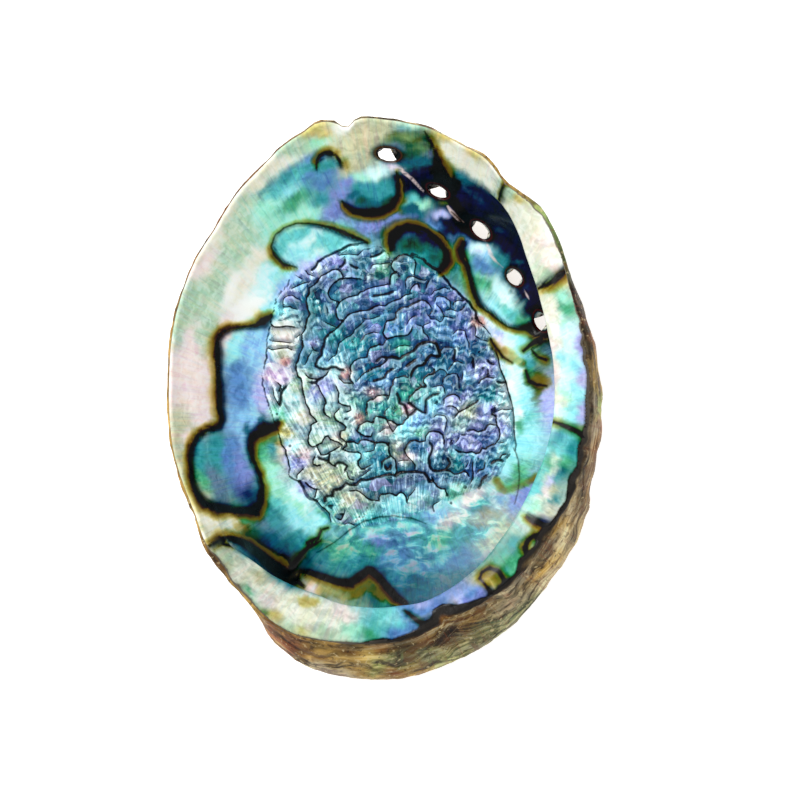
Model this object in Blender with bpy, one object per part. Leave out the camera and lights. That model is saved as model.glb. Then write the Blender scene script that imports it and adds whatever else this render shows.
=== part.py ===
"""Abalone shell lying on its back with the pearly bowl facing up.

Metres, +Z up. +Y points to the end with the newest breathing hole, +X to the side of the rolled shelf.
The outlines below are in millimetres for a shell 170 mm long.
They are measured in plan from the middle of its outline.
"""

import math

import bmesh
import bpy
import numpy as np

SHELL_LENGTH = 0.170
MM = SHELL_LENGTH / 170.0

# The lowest point of the bowl in plan, and the radius of the worn flat that the shell rests on.
LOW_POINT = (4.0, -9.5)
REST_RADIUS = 12.0

WALL = 3.8
WALL_UNDER_RIM = 3.0
LIP = 1.8
SHELF_EDGE = 1.6

# Cells across the bowl, and rows of cells in each band from the bowl up, over the rim and down the outside.
CELLS = 26
BANDS = {"wall": 6, "curl": 5, "edge": 2, "shelf": 4, "rim": 2, "side": 4, "dome": 7}
INNER_REACH = 0.74
OUTER_REACH = 0.74
DOME_POWER = 2.2

# Rim crest: x, y, z.
RIM = (
    (57.5, 4.5, 44.0),
    (57.0, 16.5, 43.5),
    (52.5, 30.0, 43.0),
    (50.0, 39.5, 42.5),
    (47.0, 48.5, 41.5),
    (42.5, 57.0, 40.5),
    (36.5, 62.0, 40.0),
    (31.5, 66.0, 39.5),
    (26.0, 73.0, 38.5),
    (18.0, 77.5, 38.0),
    (9.0, 82.0, 37.0),
    (0.0, 84.0, 36.5),
    (-9.0, 85.0, 36.5),
    (-17.0, 84.5, 36.5),
    (-25.0, 83.5, 36.0),
    (-29.5, 80.5, 36.0),
    (-36.0, 76.0, 36.0),
    (-43.0, 69.0, 36.0),
    (-49.5, 62.0, 36.0),
    (-56.0, 51.5, 36.5),
    (-61.5, 43.0, 36.5),
    (-67.5, 26.5, 36.5),
    (-70.0, 3.0, 37.0),
    (-68.5, -16.5, 37.5),
    (-63.0, -32.5, 38.5),
    (-57.0, -47.5, 40.0),
    (-51.0, -55.0, 41.0),
    (-45.0, -61.5, 42.0),
    (-39.0, -67.0, 42.5),
    (-33.0, -70.5, 43.5),
    (-18.0, -73.5, 44.5),
    (0.0, -72.5, 45.0),
    (16.5, -64.5, 45.5),
    (30.0, -57.5, 45.5),
    (38.5, -49.5, 45.5),
    (45.0, -39.5, 45.0),
    (51.5, -28.5, 45.0),
    (56.5, -15.0, 44.5),
)

# Inner edge of the rolled shelf: x, y and its drop below the rim.
SHELF_LINE = (
    (46.5, 3.0, 2.5),
    (45.5, 15.0, 2.5),
    (43.5, 24.5, 3.0),
    (40.5, 36.0, 3.5),
    (36.0, 47.5, 4.0),
    (32.5, 57.5, 3.0),
    (28.5, 67.5, 1.5),
    (-61.0, -33.0, 3.0),
    (-55.5, -43.0, 6.0),
    (-45.0, -45.5, 7.0),
    (-36.0, -52.5, 6.5),
    (-29.0, -56.5, 4.5),
    (-18.0, -61.5, 3.5),
    (-3.0, -62.5, 3.0),
    (9.0, -60.0, 3.0),
    (21.0, -52.5, 3.0),
    (31.5, -40.5, 3.0),
    (39.0, -27.5, 3.0),
    (44.0, -15.0, 2.5),
)

# Widest line of the outside below the rim: x, y, z.
FLANK = (
    (61.5, 0.0, 29.0),
    (58.5, 16.5, 28.0),
    (54.0, 31.0, 27.0),
    (48.5, 42.0, 26.0),
    (40.0, 54.0, 26.0),
    (25.5, 68.0, 26.0),
    (-59.5, -32.0, 27.0),
    (-55.0, -46.5, 27.0),
    (-45.5, -64.5, 28.0),
    (-40.0, -73.5, 28.0),
    (-27.5, -81.5, 28.0),
    (-12.0, -85.0, 28.0),
    (0.0, -85.0, 28.0),
    (15.0, -80.5, 28.0),
    (33.0, -69.5, 29.0),
    (45.5, -55.5, 30.0),
    (54.0, -41.0, 30.0),
    (58.5, -24.5, 30.0),
    (61.0, -11.0, 30.0),
)

# Share of rolled shelf against plain lip, by direction in degrees.
SHELF_SHARE = (
    (0, 1.0),
    (52, 1.0),
    (60, 0.85),
    (68, 0.45),
    (75, 0.0),
    (140, 0.0),
    (194, 0.0),
    (208, 0.15),
    (222, 0.5),
    (236, 0.9),
    (246, 1.0),
    (300, 1.0),
)

# Shape of the plain lip's bowl by direction: share that rises as a square, and the power of the rest.
LIP_FLATNESS = (
    (0, 0.35),
    (51, 0.35),
    (71, 0.38),
    (84, 0.47),
    (97, 0.60),
    (120, 0.70),
    (176, 0.75),
    (209, 0.60),
    (234, 0.40),
    (278, 0.30),
    (318, 0.32),
)
LIP_POWER = (
    (0, 7.0),
    (51, 6.5),
    (71, 6.0),
    (84, 4.5),
    (97, 3.6),
    (120, 3.0),
    (176, 3.4),
    (209, 4.0),
    (234, 5.0),
    (278, 6.0),
    (318, 6.8),
)

# Breathing holes: x, y, length, width, turn in degrees, height range of the bore.
HOLES = (
    (-4.2, 75.2, 6.4, 4.4, -8.0, 2.0, 33.0),
    (11.0, 64.4, 6.2, 4.4, -24.0, 2.0, 33.0),
    (24.9, 52.2, 6.2, 4.6, -34.0, 2.0, 33.0),
    (35.4, 37.9, 5.4, 4.4, -48.0, 2.0, 33.0),
    (43.2, 24.0, 5.0, 4.2, -62.0, 2.0, 31.0),
    (-16.4, 86.2, 6.0, 6.4, 0.0, 10.0, 60.0),
)
HOLE_SIDES = 14

# The line of healed holes on from the open ones, round to the spire.
HEALED_LINE = (
    (48.0, 11.0),
    (51.0, -3.0),
    (51.0, -17.0),
    (48.0, -31.0),
    (41.5, -43.0),
    (32.5, -54.0),
    (20.0, -62.5),
    (6.0, -67.0),
    (-9.0, -68.0),
    (-21.5, -65.0),
    (-29.5, -58.5),
)
SPIRE = (-31.0, -56.0)
SEAM = (
    (-17.0, -57.0),
    (-20.5, -48.0),
    (-29.5, -43.0),
    (-41.0, -44.0),
    (-51.0, -48.5),
    (-58.0, -51.0),
)

# Rough oval of the muscle scar on the floor of the bowl.
SCAR = (
    (-14.5, 47.5),
    (-24.5, 41.5),
    (-33.0, 34.5),
    (-38.0, 26.0),
    (-41.0, 14.0),
    (-42.0, 3.0),
    (-38.5, -8.0),
    (-35.0, -19.5),
    (-26.5, -31.5),
    (-20.0, -37.5),
    (0.0, -33.0),
    (18.0, -30.0),
    (31.0, -23.0),
    (35.5, -12.5),
    (35.0, -3.0),
    (32.5, 12.5),
    (26.5, 23.0),
    (21.5, 30.0),
    (12.5, 40.0),
    (1.5, 45.5),
    (-7.5, 47.5),
)

# Growth turns about the spire by this much for each e-fold of size.
SPIRAL_RATE = 0.424


def around(stations, angle):
    """A closed smooth curve through (degrees, value) stations, read at each angle in radians."""
    station = np.array(sorted(stations), float)
    degrees = np.concatenate([station[-2:, 0] - 360.0, station[:, 0], station[:2, 0] + 360.0])
    value = np.concatenate([station[-2:, 1], station[:, 1], station[:2, 1]])
    slope = np.zeros(len(value))
    slope[1:-1] = (value[2:] - value[:-2]) / (degrees[2:] - degrees[:-2])
    at = np.degrees(angle) % 360.0
    low = np.clip(np.searchsorted(degrees, at, side="right") - 1, 1, len(degrees) - 3)
    step = degrees[low + 1] - degrees[low]
    t = (at - degrees[low]) / step
    rise = value[low] * (1 + 2 * t) * (1 - t) ** 2 + value[low + 1] * t * t * (3 - 2 * t)
    bend = slope[low] * t * (1 - t) ** 2 - slope[low + 1] * t * t * (1 - t)
    return rise + bend * step


def stations(points, column):
    """An outline given in plan turned into (degrees, radius or third column) about the low point."""
    out = []
    for point in points:
        dx = point[0] - LOW_POINT[0]
        dy = point[1] - LOW_POINT[1]
        value = math.hypot(dx, dy) if column == "radius" else point[2]
        out.append((math.degrees(math.atan2(dy, dx)) % 360.0, value))
    return out


def smooth(low, high, value):
    t = np.clip((value - low) / (high - low), 0.0, 1.0)
    return t * t * (3 - 2 * t)


def curve(t, *controls):
    """A Bezier curve through the (radius, height) controls."""
    degree = len(controls) - 1
    r = 0.0
    z = 0.0
    for i, (cr, cz) in enumerate(controls):
        weight = math.comb(degree, i) * t**i * (1 - t) ** (degree - i)
        r = r + weight * cr
        z = z + weight * cz
    return r, z


def offset_in(r, z, slope, thickness):
    """A point on the inner skin, square to the outer skin."""
    length = np.sqrt(1 + slope * slope)
    return r - thickness * slope / length, z + thickness / length


class Outline:
    """Everything that the cross-sections need, read at each direction about the low point."""

    def __init__(self, angle):
        self.rim_r = around(stations(RIM, "radius"), angle)
        self.rim_z = around(stations(RIM, "third"), angle)
        self.edge_r = around(stations(SHELF_LINE, "radius"), angle)
        self.edge_z = self.rim_z - around(stations(SHELF_LINE, "third"), angle)
        self.flank_r = around(stations(FLANK, "radius"), angle)
        self.flank_z = around(stations(FLANK, "third"), angle)
        self.share = np.clip(around(SHELF_SHARE, angle), 0.0, 1.0)
        self.flat = around(LIP_FLATNESS, angle)
        self.power = around(LIP_POWER, angle)


def dome_shelf(o, s):
    """Outer skin under the shelf side: radius, height and slope at a share s of the way to the flank."""
    rest = REST_RADIUS / o.flank_r
    t = np.clip((s - rest) / (1 - rest), 0.0, 0.99999)
    left = 1 - t**DOME_POWER
    z = o.flank_z * (1 - left ** (1 / DOME_POWER))
    slope = o.flank_z / (o.flank_r * (1 - rest)) * t ** (DOME_POWER - 1) * left ** (1 / DOME_POWER - 1)
    return s * o.flank_r, z, slope


def dome_lip(o, s):
    """Outer skin under the plain lip: radius, height and slope at a share s of the way to the rim."""
    rest = REST_RADIUS / o.rim_r
    t = np.clip((s - rest) / (1 - rest), 0.0, 1.0)
    z = o.rim_z * (o.flat * t**2 + (1 - o.flat) * t**o.power)
    rise = o.flat * 2 * t + (1 - o.flat) * o.power * t ** (o.power - 1)
    return s * o.rim_r, z, o.rim_z * rise / (o.rim_r * (1 - rest))


def inner_lip(o, s):
    thickness = WALL + (WALL_UNDER_RIM - WALL) * smooth(0.5, 0.9, s)
    thickness = thickness + (LIP - WALL_UNDER_RIM) * smooth(0.88, 1.0, s)
    return offset_in(*dome_lip(o, s), thickness)


def shelf_section(o, band, t):
    """The cross-section with the rolled shelf."""
    rest = REST_RADIUS / o.flank_r
    inside_r = o.flank_r - WALL
    under = (o.edge_r + 1.2, o.edge_z - SHELF_EDGE)
    nose_low = (o.edge_r - 0.5, o.edge_z - 0.9 * SHELF_EDGE)
    nose_high = (o.edge_r - 0.4, o.edge_z)
    tip = (o.edge_r + 0.5, o.edge_z)
    crest = (o.rim_r - 1.6, o.rim_z - 0.2)
    brow = (o.rim_r + 0.5, o.rim_z - 1.4)
    flank = (o.flank_r, o.flank_z)
    if band in ("wall", "dome"):
        # Rows stay evenly spaced where the wall turns upright.
        start = INNER_REACH if band == "wall" else OUTER_REACH
        local = (start - rest) / (1 - rest)
        turn = np.arcsin(local ** (DOME_POWER / 2))
        turn = turn + (math.pi / 2 - turn) * (t if band == "wall" else 1 - t)
        s = rest + (1 - rest) * np.sin(turn) ** (2 / DOME_POWER)
        r, z, slope = dome_shelf(o, s)
        return offset_in(r, z, slope, WALL) if band == "wall" else (r, z)
    if band == "curl":
        up = (inside_r, o.flank_z + 0.62 * (o.rim_z - o.flank_z - 4.0))
        over = (0.35 * o.edge_r + 0.65 * o.rim_r, o.rim_z - 5.2)
        return curve(t, (inside_r, o.flank_z), up, over, under)
    if band == "edge":
        return curve(t, under, nose_low, nose_high, tip)
    if band == "shelf":
        r, z = curve(t, tip, crest)
        return r, z + 0.7 * np.sin(math.pi * t) ** 2
    if band == "rim":
        return curve(t, crest, (o.rim_r - 0.1, o.rim_z + 0.3), brow)
    shoulder = (0.5 * (o.rim_r + o.flank_r) + 1.5, 0.6 * o.rim_z + 0.4 * o.flank_z)
    return curve(t, brow, shoulder, (o.flank_r, o.flank_z + 5.0), flank)


def lip_section(o, band, t):
    """The cross-section with the plain lip."""
    if band == "wall":
        return inner_lip(o, INNER_REACH + (0.86 - INNER_REACH) * t)
    if band == "curl":
        return inner_lip(o, 0.86 + 0.07 * t)
    if band == "edge":
        return inner_lip(o, 0.93 + 0.015 * t)
    if band == "shelf":
        return inner_lip(o, 0.945 + 0.055 * t)
    if band == "rim":
        inner = inner_lip(o, 1.0)
        outer = dome_lip(o, 1.0)
        length = np.sqrt(1 + outer[2] ** 2)
        bulge = 0.6 * LIP * np.sin(math.pi * t)
        middle_r = 0.5 * (inner[0] + outer[0])
        middle_z = 0.5 * (inner[1] + outer[1])
        swing = np.cos(math.pi * t)
        r = middle_r + swing * (inner[0] - middle_r) + bulge / length
        z = middle_z + swing * (inner[1] - middle_z) + bulge * outer[2] / length
        return r, z
    if band == "side":
        return dome_lip(o, 1.0 - 0.07 * t)[:2]
    return dome_lip(o, 0.93 + (OUTER_REACH - 0.93) * t)[:2]


def mixed(o, first, second):
    r = o.share * first[0] + (1 - o.share) * second[0]
    z = o.share * first[1] + (1 - o.share) * second[1]
    return r, z


def floor_section(o, s):
    """Inner skin of the bowl's floor."""
    return mixed(o, offset_in(*dome_shelf(o, s), WALL), inner_lip(o, s))


def base_section(o, s):
    """Outer skin of the shell's underside."""
    return mixed(o, dome_shelf(o, s)[:2], dome_lip(o, s)[:2])


def polyline_distance(x, y, line, closed=False):
    """Distance in plan to a line, and the share of its length where the nearest point lies."""
    points = np.array([p[:2] for p in line], float)
    ends = np.roll(points, -1, axis=0) if closed else points[1:]
    starts = points if closed else points[:-1]
    lengths = np.hypot(*(ends - starts).T)
    before = np.concatenate([[0.0], np.cumsum(lengths)])
    best = np.full(x.shape, 1e9)
    along = np.zeros(x.shape)
    for start, end, length, done in zip(starts, ends, lengths, before):
        t = ((x - start[0]) * (end[0] - start[0]) + (y - start[1]) * (end[1] - start[1])) / length**2
        t = np.clip(t, 0.0, 1.0)
        gap = np.hypot(x - start[0] - t * (end[0] - start[0]), y - start[1] - t * (end[1] - start[1]))
        nearer = gap < best
        best = np.where(nearer, gap, best)
        along = np.where(nearer, (done + t * length) / before[-1], along)
    return best, along


def inside(x, y, line):
    """True where a point in plan lies in a closed outline."""
    odd = np.zeros(x.shape, bool)
    for (x0, y0), (x1, y1) in zip(line, line[1:] + line[:1]):
        if y0 == y1:
            continue
        crosses = (y0 > y) != (y1 > y)
        odd ^= crosses & (x < x0 + (y - y0) * (x1 - x0) / (y1 - y0))
    return odd


def bowl_relief(x, y):
    """Height of the lumps on the floor of the bowl, in millimetres towards the inside."""
    gap, _ = polyline_distance(x, y, SCAR, closed=True)
    depth = np.where(inside(x, y, SCAR), gap, -gap)
    plate = smooth(-1.5, 3.0, depth)
    height = 0.7 * plate
    # Broad terraces across the scar, bowed up and falling away to the left.
    bow = y + 0.45 * np.abs(x + 20.0) * (x < -20.0) - 0.006 * (x - 2.0) ** 2
    bow = bow + 1.6 * np.sin(0.31 * x + 0.7) + 1.2 * np.sin(0.52 * x - 0.13 * y)
    swell = 2 * math.pi * bow / 11.5
    height = height + 0.35 * plate * (np.sin(swell) - 0.3 * np.sin(2 * swell))
    # A hollow at each open hole, and a low ridge between one hole and the next.
    for hole in HOLES[:5]:
        height = height - 1.1 * np.exp(-((x - hole[0] + 1.5) ** 2 + (y - hole[1] + 1.5) ** 2) / 26.0)
    for first, second in zip(HOLES[:4], HOLES[1:5]):
        mid_x = 0.5 * (first[0] + second[0])
        mid_y = 0.5 * (first[1] + second[1])
        height = height + 0.9 * np.exp(-((x - mid_x) ** 2 + (y - mid_y) ** 2) / 16.0)
    # The pit that runs up inside the spire, with the crumpled fold beside it.
    height = height - 2.6 * np.exp(-((x - SPIRE[0] - 1.0) ** 2 + (y - SPIRE[1]) ** 2) / 34.0)
    fold, _ = polyline_distance(x, y, ((-21.5, -39.5), (-25.0, -43.0), (-29.0, -47.0), (-32.0, -52.5)))
    height = height + 1.3 * np.exp(-((fold / 2.2) ** 2))
    return height


def crust_relief(x, y, z):
    """Height of the lumps on the outside, in millimetres outwards."""
    dx = x - SPIRE[0]
    dy = y - SPIRE[1]
    size = np.log(np.maximum(np.hypot(dx, dy), 1.0))
    turn = np.arctan2(dy, dx)
    turn = np.where(turn < -2.2, turn + 2 * math.pi, turn)
    whorl = size - SPIRAL_RATE * turn
    growth = turn + 0.66 * (whorl - 4.385)
    from_spire = np.hypot(dx, dy)
    # Growth lines lie parallel to the lip, and broad cords follow the spiral.
    ridges = np.sin(2 * math.pi * growth / 0.115 + 1.3 * np.sin(7.0 * whorl))
    height = 0.5 * ridges * smooth(60.0, 115.0, from_spire)
    height = height + 0.25 * np.sin(2 * math.pi * whorl / 0.16) * smooth(50.0, 90.0, from_spire)
    height = height + 0.35 * np.sin(0.13 * x + 0.6) * np.sin(0.11 * y - 0.4)
    # The row of holes stands up as a keel, with a knob at each healed hole.
    row = tuple(hole[:2] for hole in HOLES[:5]) + HEALED_LINE
    gap, along = polyline_distance(x, y, row)
    keel = np.exp(-((gap / 4.2) ** 2))
    taper = 1.0 - 0.65 * along
    knobs = 0.5 - 0.5 * np.cos(2 * math.pi * 17 * along**0.9)
    height = height + keel * taper * (1.1 + 1.3 * knobs)
    # The low spire, and the seam that leaves it and runs out to the end of the lip.
    height = height + 4.2 * np.exp(-((from_spire / 9.0) ** 2))
    seam, _ = polyline_distance(x, y, SEAM)
    height = height - 1.5 * np.exp(-((seam / 3.4) ** 2))
    # Nothing reaches down past the worn flat.
    away = np.hypot(x - LOW_POINT[0], y - LOW_POINT[1])
    return np.minimum(height * smooth(REST_RADIUS + 2.0, REST_RADIUS + 20.0, away), 0.6 * z)


def lattice_block():
    """A block with its faces divided into a lattice, which is then folded into the shell."""
    rows = sum(BANDS.values())
    bm = bmesh.new()
    bmesh.ops.create_cube(bm, size=2.0)
    upright = [e for e in bm.edges if abs(e.verts[0].co.z - e.verts[1].co.z) > 1.0]
    bmesh.ops.subdivide_edges(bm, edges=upright, cuts=rows - 1)
    level = [e for e in bm.edges if abs(e.verts[0].co.z - e.verts[1].co.z) < 1e-6]
    bmesh.ops.subdivide_edges(bm, edges=level, cuts=CELLS - 1, use_grid_fill=True)
    return bm


def fold(points):
    """Each lattice point's place on the shell, in millimetres, and which skin it is on."""
    u, v, level = points.T
    reach = np.maximum(np.abs(u), np.abs(v))
    top = level > 1 - 1e-6
    bottom = level < -1 + 1e-6
    # Going round the square becomes going round the bowl.
    right = (u >= np.abs(v)) & (u > 0)
    back = (v >= np.abs(u)) & ~right
    left = (-u >= np.abs(v)) & ~right & ~back
    safe = np.maximum(reach, 1e-9)
    sides = (v / safe, 2 - u / safe, 4 - v / safe)
    angle = np.select((right, back, left), sides, 6 + u / safe) * math.pi / 4
    o = Outline(angle)
    r, z = base_section(o, reach * OUTER_REACH)
    floor_r, floor_z = floor_section(o, reach * INNER_REACH)
    r = np.where(top, floor_r, r)
    z = np.where(top, floor_z, z)
    skin = np.where(top, 1.0, -1.0)
    rows = sum(BANDS.values())
    row = (1 - level) / 2 * rows
    first = 0
    for band, count in BANDS.items():
        here = ~top & ~bottom & (row > first + 1e-4) & (row < first + count + 1e-4)
        t = np.clip((row - first) / count, 0.0, 1.0)
        band_r, band_z = mixed(o, shelf_section(o, band, t), lip_section(o, band, t))
        r = np.where(here, band_r, r)
        z = np.where(here, band_z, z)
        if band in ("wall", "curl"):
            skin = np.where(here, 1.0 if band == "wall" else 1.0 - t, skin)
        elif band in ("edge", "shelf", "rim"):
            skin = np.where(here, 0.0, skin)
        elif band == "side":
            skin = np.where(here, -t, skin)
        first += count
    x = LOW_POINT[0] + r * np.cos(angle)
    y = LOW_POINT[1] + r * np.sin(angle)
    return np.stack([x, y, z], axis=1), skin


def shell_mesh():
    bm = lattice_block()
    lattice = np.array([vert.co[:] for vert in bm.verts])
    points, skin = fold(lattice)
    for vert, point in zip(bm.verts, points):
        vert.co = point
    bm.normal_update()
    normals = np.array([vert.normal[:] for vert in bm.verts])
    x, y, z = points.T
    lift = np.where(skin > 0, bowl_relief(x, y) * skin, crust_relief(x, y, z) * -skin)
    points = points + normals * lift[:, None]
    flat = (skin < 0) & (np.hypot(x - LOW_POINT[0], y - LOW_POINT[1]) < REST_RADIUS)
    points[flat, 2] = 0.0
    for vert, point in zip(bm.verts, points):
        vert.co = point
    bmesh.ops.recalc_face_normals(bm, faces=bm.faces)
    mesh = bpy.data.meshes.new("shell")
    bm.to_mesh(mesh)
    bm.free()
    return mesh


def hole_cutter_mesh():
    """One upright oval bore for each breathing hole, and one for the open notch in the rim."""
    bm = bmesh.new()
    for x, y, length, width, turn, low, high in HOLES:
        made = bmesh.ops.create_cone(
            bm,
            cap_ends=True,
            segments=HOLE_SIDES,
            radius1=0.5,
            radius2=0.5,
            depth=1.0,
        )["verts"]
        cos = math.cos(math.radians(turn))
        sin = math.sin(math.radians(turn))
        for vert in made:
            along = vert.co.x * length
            across = vert.co.y * width
            height = 0.5 * (low + high) + vert.co.z * (high - low)
            vert.co = (x + along * cos - across * sin, y + along * sin + across * cos, height)
    bmesh.ops.recalc_face_normals(bm, faces=bm.faces)
    mesh = bpy.data.meshes.new("hole_cutter")
    bm.to_mesh(mesh)
    bm.free()
    return mesh


def place(mesh, shift):
    for vert in mesh.vertices:
        vert.co = [(c - s) * MM for c, s in zip(vert.co, shift)]


def material(name, colour, roughness):
    made = bpy.data.materials.new(name)
    made.use_nodes = True
    shader = made.node_tree.nodes["Principled BSDF"]
    shader.inputs["Base Color"].default_value = (*colour, 1.0)
    shader.inputs["Roughness"].default_value = roughness
    return made


for old in list(bpy.data.objects):
    bpy.data.objects.remove(old, do_unlink=True)

shell_data = shell_mesh()
cutter_data = hole_cutter_mesh()
corners = np.array([vert.co[:] for vert in shell_data.vertices])
low = corners.min(axis=0)
high = corners.max(axis=0)
centre = ((low[0] + high[0]) / 2, (low[1] + high[1]) / 2, low[2])
place(shell_data, centre)
place(cutter_data, centre)

shell = bpy.data.objects.new("shell", shell_data)
shell_data.materials.append(material("shell_pearl", (0.25, 0.55, 0.58), 0.25))
shell_data.shade_smooth()
bpy.context.collection.objects.link(shell)

hole_cutter = bpy.data.objects.new("hole_cutter", cutter_data)
hole_cutter.hide_render = True
hole_cutter.display_type = "WIRE"
bpy.context.collection.objects.link(hole_cutter)

bores = shell.modifiers.new("breathing_holes", "BOOLEAN")
bores.operation = "DIFFERENCE"
bores.solver = "EXACT"
bores.object = hole_cutter
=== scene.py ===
# %% [markdown]
# # Abalone shell, pearly side up
# The shell of an abalone is a shallow ear-shaped bowl that grows by adding to its lip.
# Inside it is mother-of-pearl, outside it is a rough brown crust, and both are one piece of shell.
# We load the measured solid first. It fixes the size, and everything below is made to lie where it lies.

# %% Load the measured shell
import math

import bmesh
import bpy
import numpy as np
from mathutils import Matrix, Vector


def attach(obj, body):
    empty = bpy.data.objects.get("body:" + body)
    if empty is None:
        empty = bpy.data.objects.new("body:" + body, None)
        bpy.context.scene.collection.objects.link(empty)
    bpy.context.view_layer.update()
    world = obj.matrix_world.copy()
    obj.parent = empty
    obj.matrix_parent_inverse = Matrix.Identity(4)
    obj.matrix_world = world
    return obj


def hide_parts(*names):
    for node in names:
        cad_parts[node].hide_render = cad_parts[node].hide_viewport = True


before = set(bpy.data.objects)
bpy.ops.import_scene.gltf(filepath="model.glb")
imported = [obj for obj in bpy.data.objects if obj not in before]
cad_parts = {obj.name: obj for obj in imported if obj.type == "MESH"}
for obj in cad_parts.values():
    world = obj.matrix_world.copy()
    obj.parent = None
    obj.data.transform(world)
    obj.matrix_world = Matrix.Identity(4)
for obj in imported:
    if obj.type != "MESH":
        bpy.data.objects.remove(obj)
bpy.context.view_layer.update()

# %% [markdown]
# ## Outlines of the shell
# The rim, the inner edge of the rolled shelf and the widest line of the outside are given in millimetres,
# as seen from straight above. Reading them as smooth curves round the lowest point of the bowl gives a
# cross-section in any direction, which is how a boat builder would loft a hull from its stations.

# %% Outlines in plan
# Millimetres, apart from REACH, the share of the way out that is floor, and DOME_POWER, the dome's fullness.
MM = 0.001
SHIFT = (4.227, 0.198)
LOW_POINT = (4.0, -9.5)
REST_RADIUS = 12.0
WALL = 3.8
WALL_UNDER_RIM = 3.0
LIP = 1.8
SHELF_EDGE = 1.6
REACH = 0.74
DOME_POWER = 2.2


def groups(numbers, size):
    """A flat run of numbers as places of `size` numbers each."""
    return [numbers[first:first + size] for first in range(0, len(numbers), size)]


# A station is right, up and a height. On the shelf line the third number is the drop from the rim.
RIM = groups((
    57.5,4.5,44, 57,16.5,43.5, 52.5,30,43, 50,39.5,42.5, 47,48.5,41.5, 42.5,57,40.5, 36.5,62,40,
    31.5,66,39.5, 26,73,38.5, 18,77.5,38, 9,82,37, 0,84,36.5, -9,85,36.5, -17,84.5,36.5, -25,83.5,36,
    -29.5,80.5,36, -36,76,36, -43,69,36, -49.5,62,36, -56,51.5,36.5, -61.5,43,36.5, -67.5,26.5,36.5,
    -70,3,37, -68.5,-16.5,37.5, -63,-32.5,38.5, -57,-47.5,40, -51,-55,41, -45,-61.5,42, -39,-67,42.5,
    -33,-70.5,43.5, -18,-73.5,44.5, 0,-72.5,45, 16.5,-64.5,45.5, 30,-57.5,45.5, 38.5,-49.5,45.5, 45,-39.5,45,
    51.5,-28.5,45, 56.5,-15,44.5,
), 3)
SHELF_LINE = groups((
    46.5,3,2.5, 45.5,15,2.5, 43.5,24.5,3, 40.5,36,3.5, 36,47.5,4, 32.5,57.5,3, 28.5,67.5,1.5, -61,-33,3,
    -55.5,-43,6, -45,-45.5,7, -36,-52.5,6.5, -29,-56.5,4.5, -18,-61.5,3.5, -3,-62.5,3, 9,-60,3, 21,-52.5,3,
    31.5,-40.5,3, 39,-27.5,3, 44,-15,2.5,
), 3)
FLANK = groups((
    61.5,0,29, 58.5,16.5,28, 54,31,27, 48.5,42,26, 40,54,26, 25.5,68,26, -59.5,-32,27, -55,-46.5,27,
    -45.5,-64.5,28, -40,-73.5,28, -27.5,-81.5,28, -12,-85,28, 0,-85,28, 15,-80.5,28, 33,-69.5,29,
    45.5,-55.5,30, 54,-41,30, 58.5,-24.5,30, 61,-11,30,
), 3)
# Degrees round the low point, and the value there.
SHELF_SHARE = groups((
    0,1, 52,1, 60,0.85, 68,0.45, 75,0, 140,0, 194,0, 208,0.15, 222,0.5, 236,0.9, 246,1, 300,1,
), 2)
LIP_FLATNESS = groups((
    0,0.35, 51,0.35, 71,0.38, 84,0.47, 97,0.6, 120,0.7, 176,0.75, 209,0.6, 234,0.4, 278,0.3, 318,0.32,
), 2)
LIP_POWER = groups((
    0,7, 51,6.5, 71,6, 84,4.5, 97,3.6, 120,3, 176,3.4, 209,4, 234,5, 278,6, 318,6.8,
), 2)

print("stations round the rim:", len(RIM), "along the shelf:", len(SHELF_LINE))
print("stations along the flank:", len(FLANK))

# %% [markdown]
# ## Smooth curves through the stations
# A curve that takes its slope at each station from the two neighbours passes through every station and has
# no corners. It closes on itself, because the last station's neighbour is the first one.

# %% Curves round the low point
def smooth(low, high, value):
    """An even rise from 0 at `low` to 1 at `high`."""
    t = np.clip((value - low) / (high - low), 0.0, 1.0)
    return t * t * (3 - 2 * t)


def around(stations, angle):
    """A closed smooth curve through (degrees, value) stations, read at each angle in radians."""
    station = np.array(sorted(stations), float)
    degrees = np.concatenate([station[-2:, 0] - 360.0, station[:, 0], station[:2, 0] + 360.0])
    value = np.concatenate([station[-2:, 1], station[:, 1], station[:2, 1]])
    slope = np.zeros(len(value))
    slope[1:-1] = (value[2:] - value[:-2]) / (degrees[2:] - degrees[:-2])
    at = np.degrees(angle) % 360.0
    low = np.clip(np.searchsorted(degrees, at, side="right") - 1, 1, len(degrees) - 3)
    step = degrees[low + 1] - degrees[low]
    t = (at - degrees[low]) / step
    rise = value[low] * (1 + 2 * t) * (1 - t) ** 2 + value[low + 1] * t * t * (3 - 2 * t)
    bend = slope[low] * t * (1 - t) ** 2 - slope[low + 1] * t * t * (1 - t)
    return rise + bend * step


print("share of shelf at 60 degrees:", around(SHELF_SHARE, np.radians([60.0])).round(2))

# %% [markdown]
# ## Reading the outlines in one direction
# A cross-section needs the rim, the shelf edge and the flank in its own direction, and how much of it is
# shelf and how much plain lip. One small class reads them all at once, for any number of directions.

# %% Outline readings
def seen_from_low_point(points):
    """Each outline point as degrees, radius and its third value."""
    out = []
    for x, y, third in points:
        dx = x - LOW_POINT[0]
        dy = y - LOW_POINT[1]
        out.append((math.degrees(math.atan2(dy, dx)) % 360.0, math.hypot(dx, dy), third))
    return out


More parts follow.
